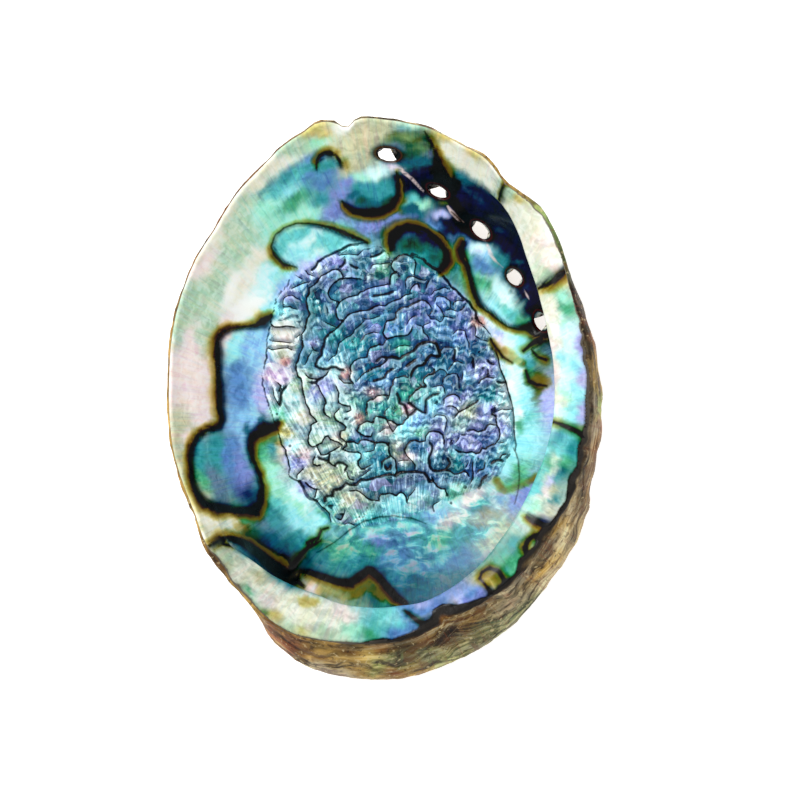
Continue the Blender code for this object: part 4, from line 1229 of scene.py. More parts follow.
def crust_relief(points, below_rim):
    x, y, z = points.T
    growth, whorl, from_spire = growth_lines(x, y)
    ridges = np.sin(2 * math.pi * growth / 0.115 + 1.3 * np.sin(7.0 * whorl))
    height = 0.5 * ridges * smooth(60.0, 115.0, from_spire)
    height = height + 0.25 * np.sin(2 * math.pi * whorl / 0.16) * smooth(50.0, 90.0, from_spire)
    height = height + 0.35 * np.sin(0.13 * x + 0.6) * np.sin(0.11 * y - 0.4)
    row_line = tuple(hole[:2] for hole in HOLES) + HEALED_LINE
    gap, along = line_gap(x, y, row_line)
    knobs = 0.5 - 0.5 * np.cos(2 * math.pi * 17 * along**0.9)
    height = height + np.exp(-((gap / 4.2) ** 2)) * (1.0 - 0.65 * along) * (1.1 + 1.3 * knobs)
    height = height + 4.2 * np.exp(-((from_spire / 9.0) ** 2))
    height = height - 1.5 * np.exp(-((line_gap(x, y, SEAM)[0] / 3.4) ** 2))
    flakes = below_rim / 1.9 + 0.9 * hills(points, 9.0, 21) + 0.5 * hills(points, 3.0, 22)
    height = height + 0.42 * (np.abs(flakes % 1.0 - 0.3) - 0.3) * smooth(26.0, 12.0, below_rim)
    height = height + 0.30 * hills(points, 3.4, 23) + 0.16 * hills(points, 1.5, 24)
    height = height + 0.4 * hills(points, 12.0, 25)
    worn = smooth(REST_RADIUS + 2.0, REST_RADIUS + 20.0, np.hypot(x - LOW_POINT[0], y - LOW_POINT[1]))
    return np.minimum(height * worn, 0.6 * z)


print("growth, whorl and mm from the spire at the low point:",
      [round(float(v[0]), 2) for v in growth_lines(*LOW_PLACE.T[:2])])

# %% [markdown]
# ## Raising every point
# The inner skin takes the bowl's relief, the outer skin the crust's, and the lip between them a little
# roughness. Along the curl and the side one fades into the other, so no step shows.

# %% Raised surface
below_rim = np.maximum(outline.rim_z - base[:, 2], 0.0) + np.maximum(row - FIRST_ROW["dome"], 0.0) * 0.6
sheet_x, sheet_y = on_sheet(base)
is_inner = skin > 0
lift = np.zeros(len(base))
lift[is_inner] = bowl_relief(base[is_inner], sheet_x[is_inner], sheet_y[is_inner]) * skin[is_inner]
is_outer = skin < 0
lift[is_outer] = crust_relief(base[is_outer], below_rim[is_outer]) * -skin[is_outer]
on_lip = ~is_inner & ~is_outer
lift[on_lip] = 0.16 * hills(base[on_lip], 6.0, 31) + 0.05 * hills(base[on_lip], 2.0, 32)
rim_row = FIRST_ROW["rim"]
ragged = np.exp(-(((row - rim_row - 3.0) / 3.0) ** 2))
lift = lift + ragged * (0.35 * hills(base, 4.0, 33) + 0.25 * hills(base, 1.6, 34))
points = base + base_normal * lift[:, None]
print("relief runs from", round(float(lift.min()), 2), "to", round(float(lift.max()), 2), "mm")

# %% [markdown]
# ## The open notch and the flat it rests on
# The notch at the top is a hole that had not closed yet when the shell stopped growing, so the rim is
# pulled in there. Underneath, the crust is worn flat where the shell stands, and that part lies at zero.

# %% Notch and rest
notch_x, notch_half, notch_depth, notch_reach = NOTCH
across = np.clip(1 - np.abs(points[:, 0] - notch_x) / notch_half, 0.0, 1.0)
from_rim = np.maximum(outline.rim_r - radius, 0.0)
pull = notch_depth * across**0.8 * np.exp(-((from_rim / notch_reach) ** 2)) * (points[:, 1] > 60)
points[:, 1] -= pull
points[:, 2] -= 0.9 * pull

flat = (skin < 0) & (np.hypot(points[:, 0] - LOW_POINT[0], points[:, 1] - LOW_POINT[1]) < REST_RADIUS)
points[flat, 2] = 0.0
points[:, 2] = np.maximum(points[:, 2], 0.0)
for vert, point in zip(shell_bm.verts, points):
    vert.co = point
layers = {}
for name, values in (("skin", skin), ("row", row), ("angle", angle), ("below_rim", below_rim)):
    layer = shell_bm.verts.layers.float.new(name)
    layers[name] = layer
    for vert, value in zip(shell_bm.verts, values):
        vert[layer] = float(value)
print("points lying on the worn flat:", int(flat.sum()))

# %% [markdown]
# ## Opening the breathing holes
# The animal breathes through a row of holes, and only the last five are still open. To pierce both skins
# cleanly we delete every face that reaches into the oval, draw the ragged edge of the gap onto the oval and
# bridge the inner edge to the outer one. The short wall between them gets two more rings, drawn in a
# little, so the lip of the hole is round.

# %% Breathing holes
UNDER_SHELF = 36.5
OUTER_WIDER = 1.12
RING_IN = 0.15


def open_hole(bm, hole):
    hx, hy, length, width, turn = hole
    cos = math.cos(math.radians(turn))
    sin = math.sin(math.radians(turn))

    def local(co):
        dx = co.x - hx
        dy = co.y - hy
        return (dx * cos + dy * sin) / (length / 2), (-dx * sin + dy * cos) / (width / 2)

    struck = {v for v in bm.verts if v.co.z < UNDER_SHELF and math.hypot(*local(v.co)) < 1.0}
    cut = list({f for v in struck for f in v.link_faces})
    bmesh.ops.delete(bm, geom=cut, context="FACES")
    bmesh.ops.delete(bm, geom=[v for v in bm.verts if not v.link_faces], context="VERTS")
    rims = [e for e in bm.edges if e.is_boundary]
    for vert in {v for e in rims for v in e.verts}:
        u, v = local(vert.co)
        size = math.hypot(u, v) / (1.0 if vert.normal.z > 0 else OUTER_WIDER)
        dx = (u / size - u) * length / 2
        dy = (v / size - v) * width / 2
        move = Vector((dx * cos - dy * sin, dx * sin + dy * cos, 0.0))
        normal = vert.normal
        if abs(normal.z) > 0.25:
            move.z = -(normal.x * move.x + normal.y * move.y) / normal.z
        vert.co += move
    walls = bmesh.ops.bridge_loops(bm, edges=rims)
    upright = [e for e in walls["edges"] if e not in set(rims)]
    rings = bmesh.ops.subdivide_edges(bm, edges=upright, cuts=2)
    for vert in {g for g in rings["geom_inner"] if isinstance(g, bmesh.types.BMVert)}:
        u, v = local(vert.co)
        vert.co.x -= RING_IN * (u * cos - v * sin)
        vert.co.y -= RING_IN * (u * sin + v * cos)
    return len(cut)


shell_bm.normal_update()
for hole in HOLES:
    print("hole at", hole[:2], "mm: faces cut", open_hole(shell_bm, hole))

# %% [markdown]
# ## Into metres
# Everything so far was in millimetres from the middle of the outlines. Here the shell goes to its place in
# metres, and a count of open edges shows whether every hole got its wall.

# %% Closed mesh
for vert in shell_bm.verts:
    vert.co = ((vert.co.x + SHIFT[0]) * MM, (vert.co.y + SHIFT[1]) * MM, vert.co.z * MM)
bmesh.ops.recalc_face_normals(shell_bm, faces=shell_bm.faces)
open_edges = sum(1 for e in shell_bm.edges if not e.is_manifold)
triangles = sum(len(f.verts) - 2 for f in shell_bm.faces)
print("triangles:", triangles, "open edges:", open_edges)

# %% [markdown]
# ## Where the pearl ends
# The pearl ends on the shelf in a jagged edge, where the animal stopped laying it down, and everything beyond
# that line is crust. The crust has soft patches of its own on the same sheet.

# %% Edge of the pearl and patches of the crust
PEARL_EDGE = groups((
    506,181, 522,196, 540,215, 552,233, 560,252, 566,268, 575,300, 580,330, 586,365, 586.5,400, 587,415,
    585,432, 580,447, 577.5,465, 570,482, 567.5,500, 560,512, 552,525, 540,533, 532,550, 520,560, 517,572,
    505,582, 490,597, 480,600, 467,605, 455,607, 442,607, 434,612, 431,620, 425,625, 415,630, 405,635,
    390,640, 360,643, 320,640, 290,634, 270,623, 250,600, 232,580, 216,555, 204,540, 189,505, 173.5,455,
    168,420, 168,390, 170,345, 176,312, 185,285, 197,257, 214,229, 236,194, 258,171, 280,148.5, 302,133.5,
    317,123.5, 330,123.5, 345,128, 351,120.5, 370,118.5, 400,122.5, 430,128.5, 460,144, 485,159,
), 2)
CRUST_WASHES = {
    "tar": (445,624,7, 460,617,7, 474,610,6, 430,631,5, 588,350,4, 588,370,4, 589,392,4, 588,412,4,
        585,335,3, 566,502,4, 556,520,4),
    "ridge": (330,660,12, 360,671,12, 420,674,8, 250,602,9, 270,640,6, 598,380,8, 562,530,8, 542,566,8,
        500,160,9, 300,300,30, 180,480,10, 480,420,30),
    "bark": (310,650,5, 345,653,5, 385,649,6, 430,642,7, 594,450,8, 582,492,8, 300,657,6, 230,560,7,
        480,300,30, 240,200,12, 340,480,25),
    "umber": (586,468,5, 546,545,5, 402,648,6, 575,300,6, 350,380,18),
    "moss": (376,668,6, 402,664,7, 452,662,6, 601,402,6, 400,400,30, 560,240,8),
    "rust": (290,641,7, 275,633,5, 598,340,5, 603,424,5, 396,676,5, 420,540,22, 250,400,16),
    "lichen": (440,656,9, 470,648,9, 500,630,9, 526,606,8, 320,540,24, 430,240,22),
    "lead": (572,520,6, 590,440,6, 552,545,6, 522,575,6, 594,400,5, 370,300,16),
    "sand": (320,673,6, 350,676,7, 300,664,6, 482,656,5, 544,586,6, 512,602,6, 470,140,6, 574,500,6,
        560,545,6, 586,470,5),
}
crust_patches = sum(len(spots) // 3 for spots in CRUST_WASHES.values())
print("corners of the pearl's edge:", len(PEARL_EDGE), "patches on the crust:", crust_patches)

# %% [markdown]
# ## The finished mesh and its places
# The faces are cut into triangles along their short diagonals, which keep the marks even where the lattice
# leans. Every point then finds its square on the sheet. Two more sets of places bend with the shell: the fan
# runs round the bowl and out from its low point, and the comb fans up through the scar.

# %% Final places
FAN_RADIUS = 60.0
COMB_FOOT = (3.7, -75.2)
COMB_SPREAD = 90.0
FAR_AWAY = 30.0

bmesh.ops.triangulate(shell_bm, faces=shell_bm.faces[:], quad_method="SHORT_EDGE", ngon_method="BEAUTY")
shell_mesh = bpy.data.meshes.new("abalone_shell")
shell_bm.to_mesh(shell_mesh)
kept = {name: np.array([vert[layer] for vert in shell_bm.verts]) for name, layer in layers.items()}
shell_bm.free()
co = np.empty(len(shell_mesh.vertices) * 3)
shell_mesh.vertices.foreach_get("co", co)
final = co.reshape(-1, 3) / MM - (SHIFT[0], SHIFT[1], 0.0)
right, up, height = final.T
sheet_x, sheet_y = on_sheet(final)
row = kept["row"]
from_low = np.hypot(right - LOW_POINT[0], up - LOW_POINT[1])
fan = np.stack([FAN_RADIUS * np.cos(kept["angle"]), FAN_RADIUS * np.sin(kept["angle"]), from_low], axis=1)
comb_x = right - COMB_FOOT[0]
comb_y = up - COMB_FOOT[1]
comb_turn = COMB_SPREAD * np.arctan2(comb_x, comb_y)
comb = np.stack([comb_turn, 0.15 * np.hypot(comb_x, comb_y), height * 0.1], axis=1)
scar_depth = outline_depth(sheet_x, sheet_y, SCAR_EDGE)
in_scar = smooth(-2.0, 2.0, scar_depth)
print("points on the mesh:", len(final), "of them in the scar:", int((scar_depth > 0).sum()))

# %% [markdown]
# ## Along the growth lines
# The patches are drawn out along the growth lines, which run round the bowl and inside the scar nearly level.
# Fine streaks then push each place a little across those lines, so the patches break up as they do in pearl.

# %% Growth lines and streaks
GROWTH_MIDDLE = (404.0, 400.0)

out_x = sheet_x - GROWTH_MIDDLE[0]
out_y = sheet_y - GROWTH_MIDDLE[1]
out = np.maximum(np.hypot(out_x, out_y), 1.0)
run = np.stack([mixed_in(-out_y / out, 0.98, in_scar), mixed_in(out_x / out, -0.2, in_scar)])
run = run / np.hypot(run[0], run[1])
stretch = mixed_in(2.1, 1.3, in_scar)
long_fan = fan * (1, 1, 0.12)
streaky = 3.4 * hills(long_fan, 2.2, 44) + 2.6 * hills(long_fan, 1.1, 45)
streaky = streaky * (1 - 0.75 * in_scar)
marked_x = sheet_x + 2.4 * hills(final, 7.0, 41) + streaky * out_x / out
marked_y = sheet_y + 2.4 * hills(final, 7.0, 42) + streaky * out_y / out

shelf_from = FIRST_ROW["edge"] + 1.5
toward = np.degrees(kept["angle"]) % 360.0
shelf_side = np.clip(smooth(206.0, 214.0, toward) + smooth(73.0, 69.0, toward), 0.0, 1.0)
on_shelf = smooth(shelf_from - 0.6, shelf_from + 0.6, row) * shelf_side
print("points on the shelf:", int((on_shelf > 0.5).sum()))

# %% [markdown]
# ## Soft colours at every point
# The bowl, the shelf and the crust each blend their own patches. The shelf is toned down, most of all on the
# left, and the deep lower end of the bowl by the shelf gets some dark green-blue as painted shade.

# %% Blended patches
bowl_colour = wash(marked_x, marked_y, BOWL_WASHES, run, stretch)
shelf_colour = wash(marked_x, marked_y, SHELF_WASHES, run, 1.8)
shelf_colour = shelf_colour * mixed_in(0.66, 0.80, smooth(380.0, 460.0, sheet_x))[:, None]
# Painted shade: the low end of the bowl, beside and under the shelf, is pulled toward petrol.
under_shelf_shade = smooth(480.0, 600.0, sheet_y) * (1 - on_shelf) * smooth(300.0, 360.0, sheet_x)
bowl_colour = mixed_in(bowl_colour, linear(PALETTE["petrol"]), 0.50 * under_shelf_shade[:, None])
colour = mixed_in(bowl_colour, shelf_colour, on_shelf[:, None])
crust_x = sheet_x + 7.0 * hills(final, 8.0, 48) + 4.0 * hills(final, 3.0, 50)
crust_y = sheet_y + 7.0 * hills(final, 8.0, 49) + 4.0 * hills(final, 3.0, 51)
crust_colour = wash(crust_x, crust_y, CRUST_WASHES, run, 2.5)
print("mean light values of the pearl:", colour.mean(axis=0).round(3))

# %% [markdown]
# ## Strokes, amber and scales at every point
# Each mark becomes a distance. The strokes' edges waver by half a square, as a brushed layer does. A point on
# the shelf reads the shelf's marks, and any other point the bowl's.

# %% Distances to the marks
on_top = on_shelf > 0.5
edged_x = sheet_x + 0.5 * hills(final, 2.4, 46)
edged_y = sheet_y + 0.5 * hills(final, 2.4, 47)
bowl_marks = np.array(stroke_marks(edged_x, edged_y, BOWL_STROKES))
shelf_marks = np.array(stroke_marks(edged_x, edged_y, SHELF_STROKES))
stroke, stroke_middle, stroke_half, amber, shade = np.where(on_top, shelf_marks, bowl_marks)
ridge_highlight_gap = np.where(on_top, FAR_AWAY, stroke_marks(edged_x, edged_y, RIDGE_HIGHLIGHTS)[0])
bowl_amber = stroke_marks(edged_x, edged_y, BOWL_AMBER)[0]
shelf_amber = stroke_marks(edged_x, edged_y, SHELF_AMBER)[0]
amber_gap = np.where(on_top, shelf_amber, bowl_amber)
amber = np.maximum(amber, 0.5 * np.exp(-((np.maximum(amber_gap, 0.0) / 3.4) ** 2)))

on_floor = row < FIRST_ROW["curl"]
near = (scar_depth > -14) & on_floor
signed, inked = np.full((2, len(final)), NO_EDGE)
_, signed[near], _, inked[near] = scar_scales(final[near], sheet_x[near], sheet_y[near])
print("points inside a stroke:", int((stroke < 0).sum()), "on a scale's edge:", int((inked < 0).sum()))

# %% [markdown]
# ## Edges and holes at every point
# These say how far inside the pearl's edge a point lies, where dark horny layer borders it, where the pearl
# is wrinkled, and how near a hole is.

# %% Distances to the edges
# Right, down and spread, in squares.
DARKEST_BORDER = ((452.0, 622.0, 30.0), (564.0, 497.0, 20.0))
WRINKLES = ((415.0, 533.0, 44.0), (472.0, 518.0, 40.0), (352.0, 528.0, 34.0))

pearl = outline_depth(sheet_x, sheet_y, PEARL_EDGE) + 2.4 * hills(final, 2.4, 43) * shelf_side
pearl = (pearl + 1.8 * (1 - shelf_side)) * mixed_in(2.5, 1.0, shelf_side)
pearl = np.where(row < FIRST_ROW["shelf"], FAR_AWAY, pearl)
past_rim = row - FIRST_ROW["rim"] - 1.5
pearl = np.where(past_rim > 0, np.minimum(pearl, -3.0 * past_rim), pearl)

horny_edge = smooth(300.0, 370.0, sheet_y) * shelf_side * (0.35 + 0.65 * smooth(320.0, 400.0, sheet_x))
horny_edge *= mixed_in(0.6, 1.0, smooth(390.0, 460.0, sheet_y))
for spot in DARKEST_BORDER:
    horny_edge += 0.9 * bump(sheet_x, sheet_y, spot, spot[2] ** 2) * shelf_side
wrinkled = np.zeros(len(final))
for spot in WRINKLES:
    wrinkled = np.maximum(wrinkled, bump(sheet_x, sheet_y, spot, spot[2] ** 2) * (1 - on_shelf))
hole_gap = np.full(len(final), FAR_AWAY)
for hx, hy, length, width, turn in HOLES:
    cos = math.cos(math.radians(turn))
    sin = math.sin(math.radians(turn))
    u = ((right - hx) * cos + (up - hy) * sin) / (length / 2)
    v = (-(right - hx) * sin + (up - hy) * cos) / (width / 2)
    hole_gap = np.minimum(hole_gap, (np.hypot(u, v) - 1.0) * 0.5 * width)
hole_gap = np.where(on_shelf > 0.02, FAR_AWAY, hole_gap)
print("points of pearl:", int((pearl > 0).sum()), "of crust:", int((pearl <= 0).sum()))

# %% [markdown]
# ## Writing the marks on the mesh
# All of it is stored as attributes, which the two materials read. The spiral's turn starts anew in one
# direction, and its lines crowd together near the spire, so one more attribute fades them out in both places.

# %% Attributes
growth, whorl, from_spire = growth_lines(right, up)
turn = np.arctan2(up - SPIRE[1], right - SPIRE[0]) - SPIRAL_START
spiral_clear = smooth(0.10, 0.30, np.abs((turn + math.pi) % (2 * math.pi) - math.pi))
spiral_clear *= smooth(22.0, 48.0, from_spire)


def store(name, values, kind="FLOAT"):
    attribute = shell_mesh.attributes.new(name, kind, "POINT")
    key = {"FLOAT": "value", "FLOAT_COLOR": "color", "FLOAT_VECTOR": "vector"}[kind]
    attribute.data.foreach_set(key, np.ascontiguousarray(values, np.float32).ravel())


opaque = np.ones((len(final), 1))
store("wash", np.hstack([colour, opaque]), "FLOAT_COLOR")
store("crust_wash", np.hstack([crust_colour, opaque]), "FLOAT_COLOR")
marks = {
    "stroke": stroke, "stroke_middle": stroke_middle, "stroke_half": stroke_half, "amber": amber,
    "wrinkled": wrinkled, "ridge_highlight_gap": ridge_highlight_gap, "shade": shade,
    "scar": np.where(on_floor, scar_depth, -NO_EDGE), "edge_side": signed, "edge_ink": inked,
    "pearl": pearl, "shelf": on_shelf, "horny_edge": horny_edge, "hole_gap": hole_gap,
    "whorl": whorl, "growth": growth, "spiral_clear": spiral_clear,
}
for name, values in marks.items():
    store(name, values)
store("fan", fan, "FLOAT_VECTOR")
store("comb", comb, "FLOAT_VECTOR")
print("attributes:", [a.name for a in shell_mesh.attributes if not a.name.startswith(".")])

# %% [markdown]
# ## A bench for mixing materials
# A material is a chain of small steps, so a short helper that adds one step and joins it up keeps the recipes
# readable. Patterns read the object's own coordinates or an attribute, so they stay put from every side.

# %% Material bench
class Bench:
    """One material, built up step by step."""

    def __init__(self, name):
        self.material = bpy.data.materials.new(name)
        self.material.use_nodes = True
        self.tree = self.material.node_tree
        self.shader = self.tree.nodes["Principled BSDF"]

    def step(self, kind, wires=(), **settings):
        node = self.tree.nodes.new(kind)
        for key, value in settings.items():
            setattr(node, key, value)
        for key, value in dict(wires).items():
            if isinstance(value, bpy.types.NodeSocket):
                self.tree.links.new(value, node.inputs[key])
            else:
                node.inputs[key].default_value = value
        return node

    def read(self, name, output="Fac"):
        return self.step("ShaderNodeAttribute", attribute_name=name).outputs[output]

    def place(self, scale=(1, 1, 1), source=None):
        source = source or self.step("ShaderNodeTexCoord").outputs["Object"]
        wires = {"Vector": source, "Scale": scale}
        return self.step("ShaderNodeMapping", wires).outputs["Vector"]

    def grain(self, place, scale, detail=2.0, warp=0.0):
        wires = {"Vector": place, "Scale": scale, "Detail": detail, "Distortion": warp}
        return self.step("ShaderNodeTexNoise", wires).outputs["Fac"]

    def maths(self, kind, a, b=0.0):
        return self.step("ShaderNodeMath", {0: a, 1: b}, operation=kind).outputs[0]

    def plus(self, a, b):
        return self.maths("ADD", a, b)

    def times(self, a, b):
        return self.maths("MULTIPLY", a, b)

    def range(self, value, low, high, to_low=0.0, to_high=1.0):
        wires = {"Value": value, "From Min": low, "From Max": high, "To Min": to_low, "To Max": to_high}
        return self.step("ShaderNodeMapRange", wires, interpolation_type="SMOOTHSTEP").outputs[0]

    def mix(self, share, a, b, blend="MIX"):
        wires = {0: share, 6: a, 7: b}
        return self.step("ShaderNodeMix", wires, data_type="RGBA", blend_type=blend).outputs[2]

    def ramp(self, value, *stops):
        node = self.step("ShaderNodeValToRGB", {0: value})
        ramp = node.color_ramp
        while len(ramp.elements) < len(stops):
            ramp.elements.new(0.5)
        for element, (position, name) in zip(ramp.elements, stops):
            element.position = position
            element.color = self.tint(name)
        return node.outputs[0]

    def tone(self, share, colour, pattern, low, high, dark, light):
        """A colour darkened and lightened by a pattern."""
        tone = self.range(pattern, low, high, dark, light)
        grey = self.step("ShaderNodeCombineColor", {0: tone, 1: tone, 2: tone}).outputs[0]
        return self.mix(share, colour, grey, "OVERLAY")

    def layers(self, colour, *coats):
        """Lays tints over a colour, each by a pattern: low, high, most, tint and blend."""
        for pattern, low, high, most, name, blend in coats:
            colour = self.mix(self.range(pattern, low, high, 0.0, most), colour, self.tint(name), blend)
        return colour

    def tint(self, name):
        return (*linear(PALETTE[name]), 1.0)


print("the bench can:", [name for name in vars(Bench) if not name.startswith("_")])

# %% [markdown]
# ## Mother-of-pearl
# Pearl is hundreds of clear layers thinner than light's own waves, so its colour comes from between the
# layers. The patterns come first. Those on the fan bend round the bowl, so they make streaks across the
# growth lines or rings along them. The one on the comb fans up through the scar.

# %% Patterns in the pearl
pearl_bench = Bench("mother_of_pearl")
b = pearl_bench
plain = b.place()
fan_place = b.read("fan", "Vector")
comb_place = b.read("comb", "Vector")
scar = b.range(b.read("scar"), -1.5, 1.5)
streaks = b.grain(b.place((1, 1, 0.10), fan_place), 1.3, 3.0, 0.4)
broad = b.grain(b.place((1, 1, 0.07), fan_place), 0.28, 3.0, 0.6)
rings = b.grain(b.place((0.05, 0.05, 1.0), fan_place), 0.9, 3.0, 0.2)
combed = b.grain(b.place((1, 1, 1), comb_place), 1.15, 3.0, 0.3)
drift = b.grain(plain, 130.0, 3.0, 0.6)
mottle = b.grain(plain, 420.0, 3.0, 0.8)
print("steps for the patterns:", len(b.tree.nodes))

# %% [markdown]
# ## The play of colours
# We start from the soft patches and let three patterns swing parts of them to pink, violet and green, the
# finest in streaks. Rings darken some of it, and the pearl close round the scar is mottled and wrinkled.

# %% Play of colours
colour = b.read("wash", "Color")
swing = b.ramp(broad, (0.32, "lilac"), (0.42, "cyan"), (0.50, "silver"), (0.58, "mint"), (0.68, "blush"))
colour = b.mix(0.30, colour, swing, "SOFT_LIGHT")
swing = b.ramp(drift, (0.30, "violet"), (0.40, "turquoise"), (0.50, "silver"), (0.60, "teal"), (0.70, "mint"))
colour = b.mix(0.30, colour, swing, "SOFT_LIGHT")
swing = b.ramp(streaks, (0.34, "violet"), (0.44, "cyan"), (0.52, "silver"), (0.60, "sage"), (0.68, "blush"))
on_shelf = b.read("shelf")
colour = b.mix(b.range(on_shelf, 0.0, 1.0, 0.34, 0.16), colour, swing, "SOFT_LIGHT")
ringed = b.range(b.grain(plain, 90.0, 2.0), 0.44, 0.58)
streaked = b.times(b.range(ringed, 0.0, 1.0, 0.30, 0.0), b.range(on_shelf, 0.0, 1.0, 1.0, 0.5))
colour = b.tone(streaked, colour, streaks, 0.34, 0.66, 0.40, 0.60)
colour = b.tone(b.range(ringed, 0.0, 1.0, 0.0, 0.22), colour, rings, 0.36, 0.64, 0.42, 0.58)
wrinkled = b.range(b.read("scar"), -70.0, -6.0, 0.22, 0.60)
colour = b.tone(wrinkled, colour, mottle, 0.36, 0.64, 0.32, 0.66)
swirl = b.grain(b.place((1, 1.6, 1)), 210.0, 6.0, 0.7)
stops = ((0.36, "deep"), (0.43, "blue"), (0.49, "teal"), (0.54, "turquoise"), (0.59, "mint"), (0.64, "blush"))
colour = b.mix(b.times(b.read("wrinkled"), 0.36), colour, b.ramp(swirl, *stops))
colour = b.tone(b.times(b.read("wrinkled"), 0.7), colour, swirl, 0.38, 0.62, 0.34, 0.64)
print("steps with the play of colours:", len(b.tree.nodes))

# %% [markdown]
# ## Scales of the scar
# Inside the scar each small cell has a colour of its own, flecked with ice-white painted glints. A scale gets
# a dark traced edge, a painted highlight along the lip on the raised side of the edge and a painted shadow on
# the other.

# %% Colour on the scar
side = b.read("edge_side")
cells = b.step("ShaderNodeTexVoronoi", {"Vector": plain, "Scale": 330.0, "Randomness": 1.0})
cell_tone = b.step("ShaderNodeSeparateColor", {0: cells.outputs["Color"]}).outputs[0]
stops = ((0.06, "navy"), (0.20, "violet"), (0.36, "petrol"), (0.50, "teal"), (0.64, "blue"),
         (0.80, "turquoise"), (0.95, "lavender"))
lightness = b.step("ShaderNodeRGBToBW", {0: colour}).outputs[0]
scale_colour = b.mix(b.range(lightness, 0.25, 0.60, 0.44, 0.12), colour, b.ramp(cell_tone, *stops))
scale_colour = b.tone(0.85, scale_colour, combed, 0.34, 0.66, 0.30, 0.72)
scale_colour = b.tone(0.65, scale_colour, mottle, 0.36, 0.64, 0.34, 0.70)
# Painted glints: ice-white flecks where the comb and the mottle both peak.
glint = b.times(b.range(combed, 0.54, 0.66), b.range(mottle, 0.47, 0.60))
scale_colour = b.mix(b.times(glint, 0.7), scale_colour, b.tint("ice"))
# Painted highlight on the raised side of each edge, then painted shadow in deep blue on the lower side.
lit = b.times(b.range(side, 0.8, 1.5), b.range(side, 4.6, 1.8))
scale_colour = b.mix(b.times(lit, 0.16), scale_colour, b.tint("ice"))
below = b.times(b.range(side, -0.3, -0.9), b.range(side, -6.0, -1.2))
scale_colour = b.mix(b.times(below, 0.62), scale_colour, b.tint("deep"))
scale_colour = b.step("ShaderNodeHueSaturation", {"Saturation": 1.06, "Color": scale_colour}).outputs[0]
colour = b.mix(scar, colour, scale_colour)
ink_edge = b.plus(b.read("edge_ink"), b.range(mottle, 0.3, 0.7, -0.25, 0.35))
colour = b.mix(b.range(ink_edge, 0.40, -0.50, 0.0, 0.75), colour, b.tint("ink"))
thin = b.times(b.range(b.maths("ABSOLUTE", side), 0.80, 0.30), b.range(b.read("edge_ink"), 1.8, 1.0))
colour = b.mix(b.times(b.times(thin, scar), 0.95), colour, b.tint("ink"))
print("steps with the scar:", len(b.tree.nodes))

# %% [markdown]
# ## Strokes and amber
# The horny strokes are black-brown in the middle, then amber on one side and a painted deep blue shade on the
# other. The amber deepens in stages, because it is clear brown layer over pearl and not paint.

# %% Strokes and amber
ragged = b.range(b.grain(plain, 900.0, 3.0), 0.3, 0.7, -0.25, 0.25)
amber = b.plus(b.read("amber"), b.range(b.grain(plain, 220.0, 2.0), 0.35, 0.65, -0.12, 0.08))
amber = b.times(amber, b.range(b.grain(plain, 60.0, 2.0), 0.38, 0.62, 0.70, 1.10))
across = b.maths("SUBTRACT", b.maths("ABSOLUTE", b.read("stroke_middle")), b.read("stroke_half"))
across = b.maths("MAXIMUM", across, b.maths("SUBTRACT", b.read("stroke"), 1.2))
stroke = b.plus(across, ragged)
shade = b.read("shade")
colour = b.layers(
    colour,
    # Painted shade: deep blue and tar on the hollow side of each stroke.
    (shade, 0.10, 0.90, 0.80, "deep", "MULTIPLY"),
    (shade, 0.60, 1.00, 0.60, "tar", "MIX"),
    # Painted highlight: blush lines along the ridges between the holes.
    (b.read("ridge_highlight_gap"), 1.6, -0.4, 0.65, "blush", "MIX"),
    (amber, 0.00, 0.34, 0.90, "straw", "MULTIPLY"),
    (amber, 0.22, 0.72, 0.95, "honey", "MULTIPLY"),
    (amber, 0.30, 0.60, 0.30, "honey", "MIX"),
    (amber, 0.58, 1.00, 0.95, "peat", "MIX"),
    (stroke, 1.8, -0.6, 0.60, "peat", "MULTIPLY"),
    (stroke, 1.0, -1.6, 0.96, "pitch", "MIX"),
)
print("steps with the strokes:", len(b.tree.nodes))

# %% [markdown]
# ## Edges, holes and gloss
# At its edge the pearl ends in a thin dark line, and round each hole it darkens. Worn pearl has a soft sheen
# and no sharp gloss, so the shine is low, and two fine bumps break it up.

# %% Edges and gloss
border = b.plus(b.read("pearl"), ragged)
horny = b.read("horny_edge")
edge_colour = b.mix(horny, b.tint("lead"), b.tint("tar"))
colour = b.mix(b.times(b.range(border, 3.6, 0.5, 0.0, 0.8), horny), colour, b.tint("bark"), "MULTIPLY")
colour = b.mix(b.range(border, 1.4, -0.3), colour, edge_colour)
hole_gap = b.read("hole_gap")
colour = b.layers(
    colour,
    (hole_gap, 1.5, 0.45, 0.6, "deep", "MULTIPLY"),
    (hole_gap, 0.8, 0.3, 0.6, "bark", "MIX"),
    (hole_gap, 0.3, 0.0, 0.7, "tar", "MIX"),
)
colour = b.step("ShaderNodeHueSaturation", {"Saturation": 0.84, "Value": 1.13, "Color": colour}).outputs[0]
colour = b.step("ShaderNodeBrightContrast", {"Color": colour, "Bright": 0.0, "Contrast": 0.10}).outputs[0]
b.tree.links.new(colour, b.shader.inputs["Base Color"])
b.tree.links.new(b.range(mottle, 0.3, 0.7, 0.26, 0.42), b.shader.inputs["Roughness"])
b.shader.inputs["Specular IOR Level"].default_value = 0.16
b.shader.inputs["Coat Weight"].default_value = 0.04
b.shader.inputs["Coat Roughness"].default_value = 0.12
fine = b.step("ShaderNodeBump", {"Height": b.plus(streaks, rings), "Strength": 0.05, "Distance": 0.0004})
wires = {"Height": mottle, "Strength": 0.22, "Distance": 0.0003, "Normal": fine.outputs[0]}
fine = b.step("ShaderNodeBump", wires)
b.tree.links.new(fine.outputs[0], b.shader.inputs["Normal"])
print("pearl recipe steps:", len(b.tree.nodes))
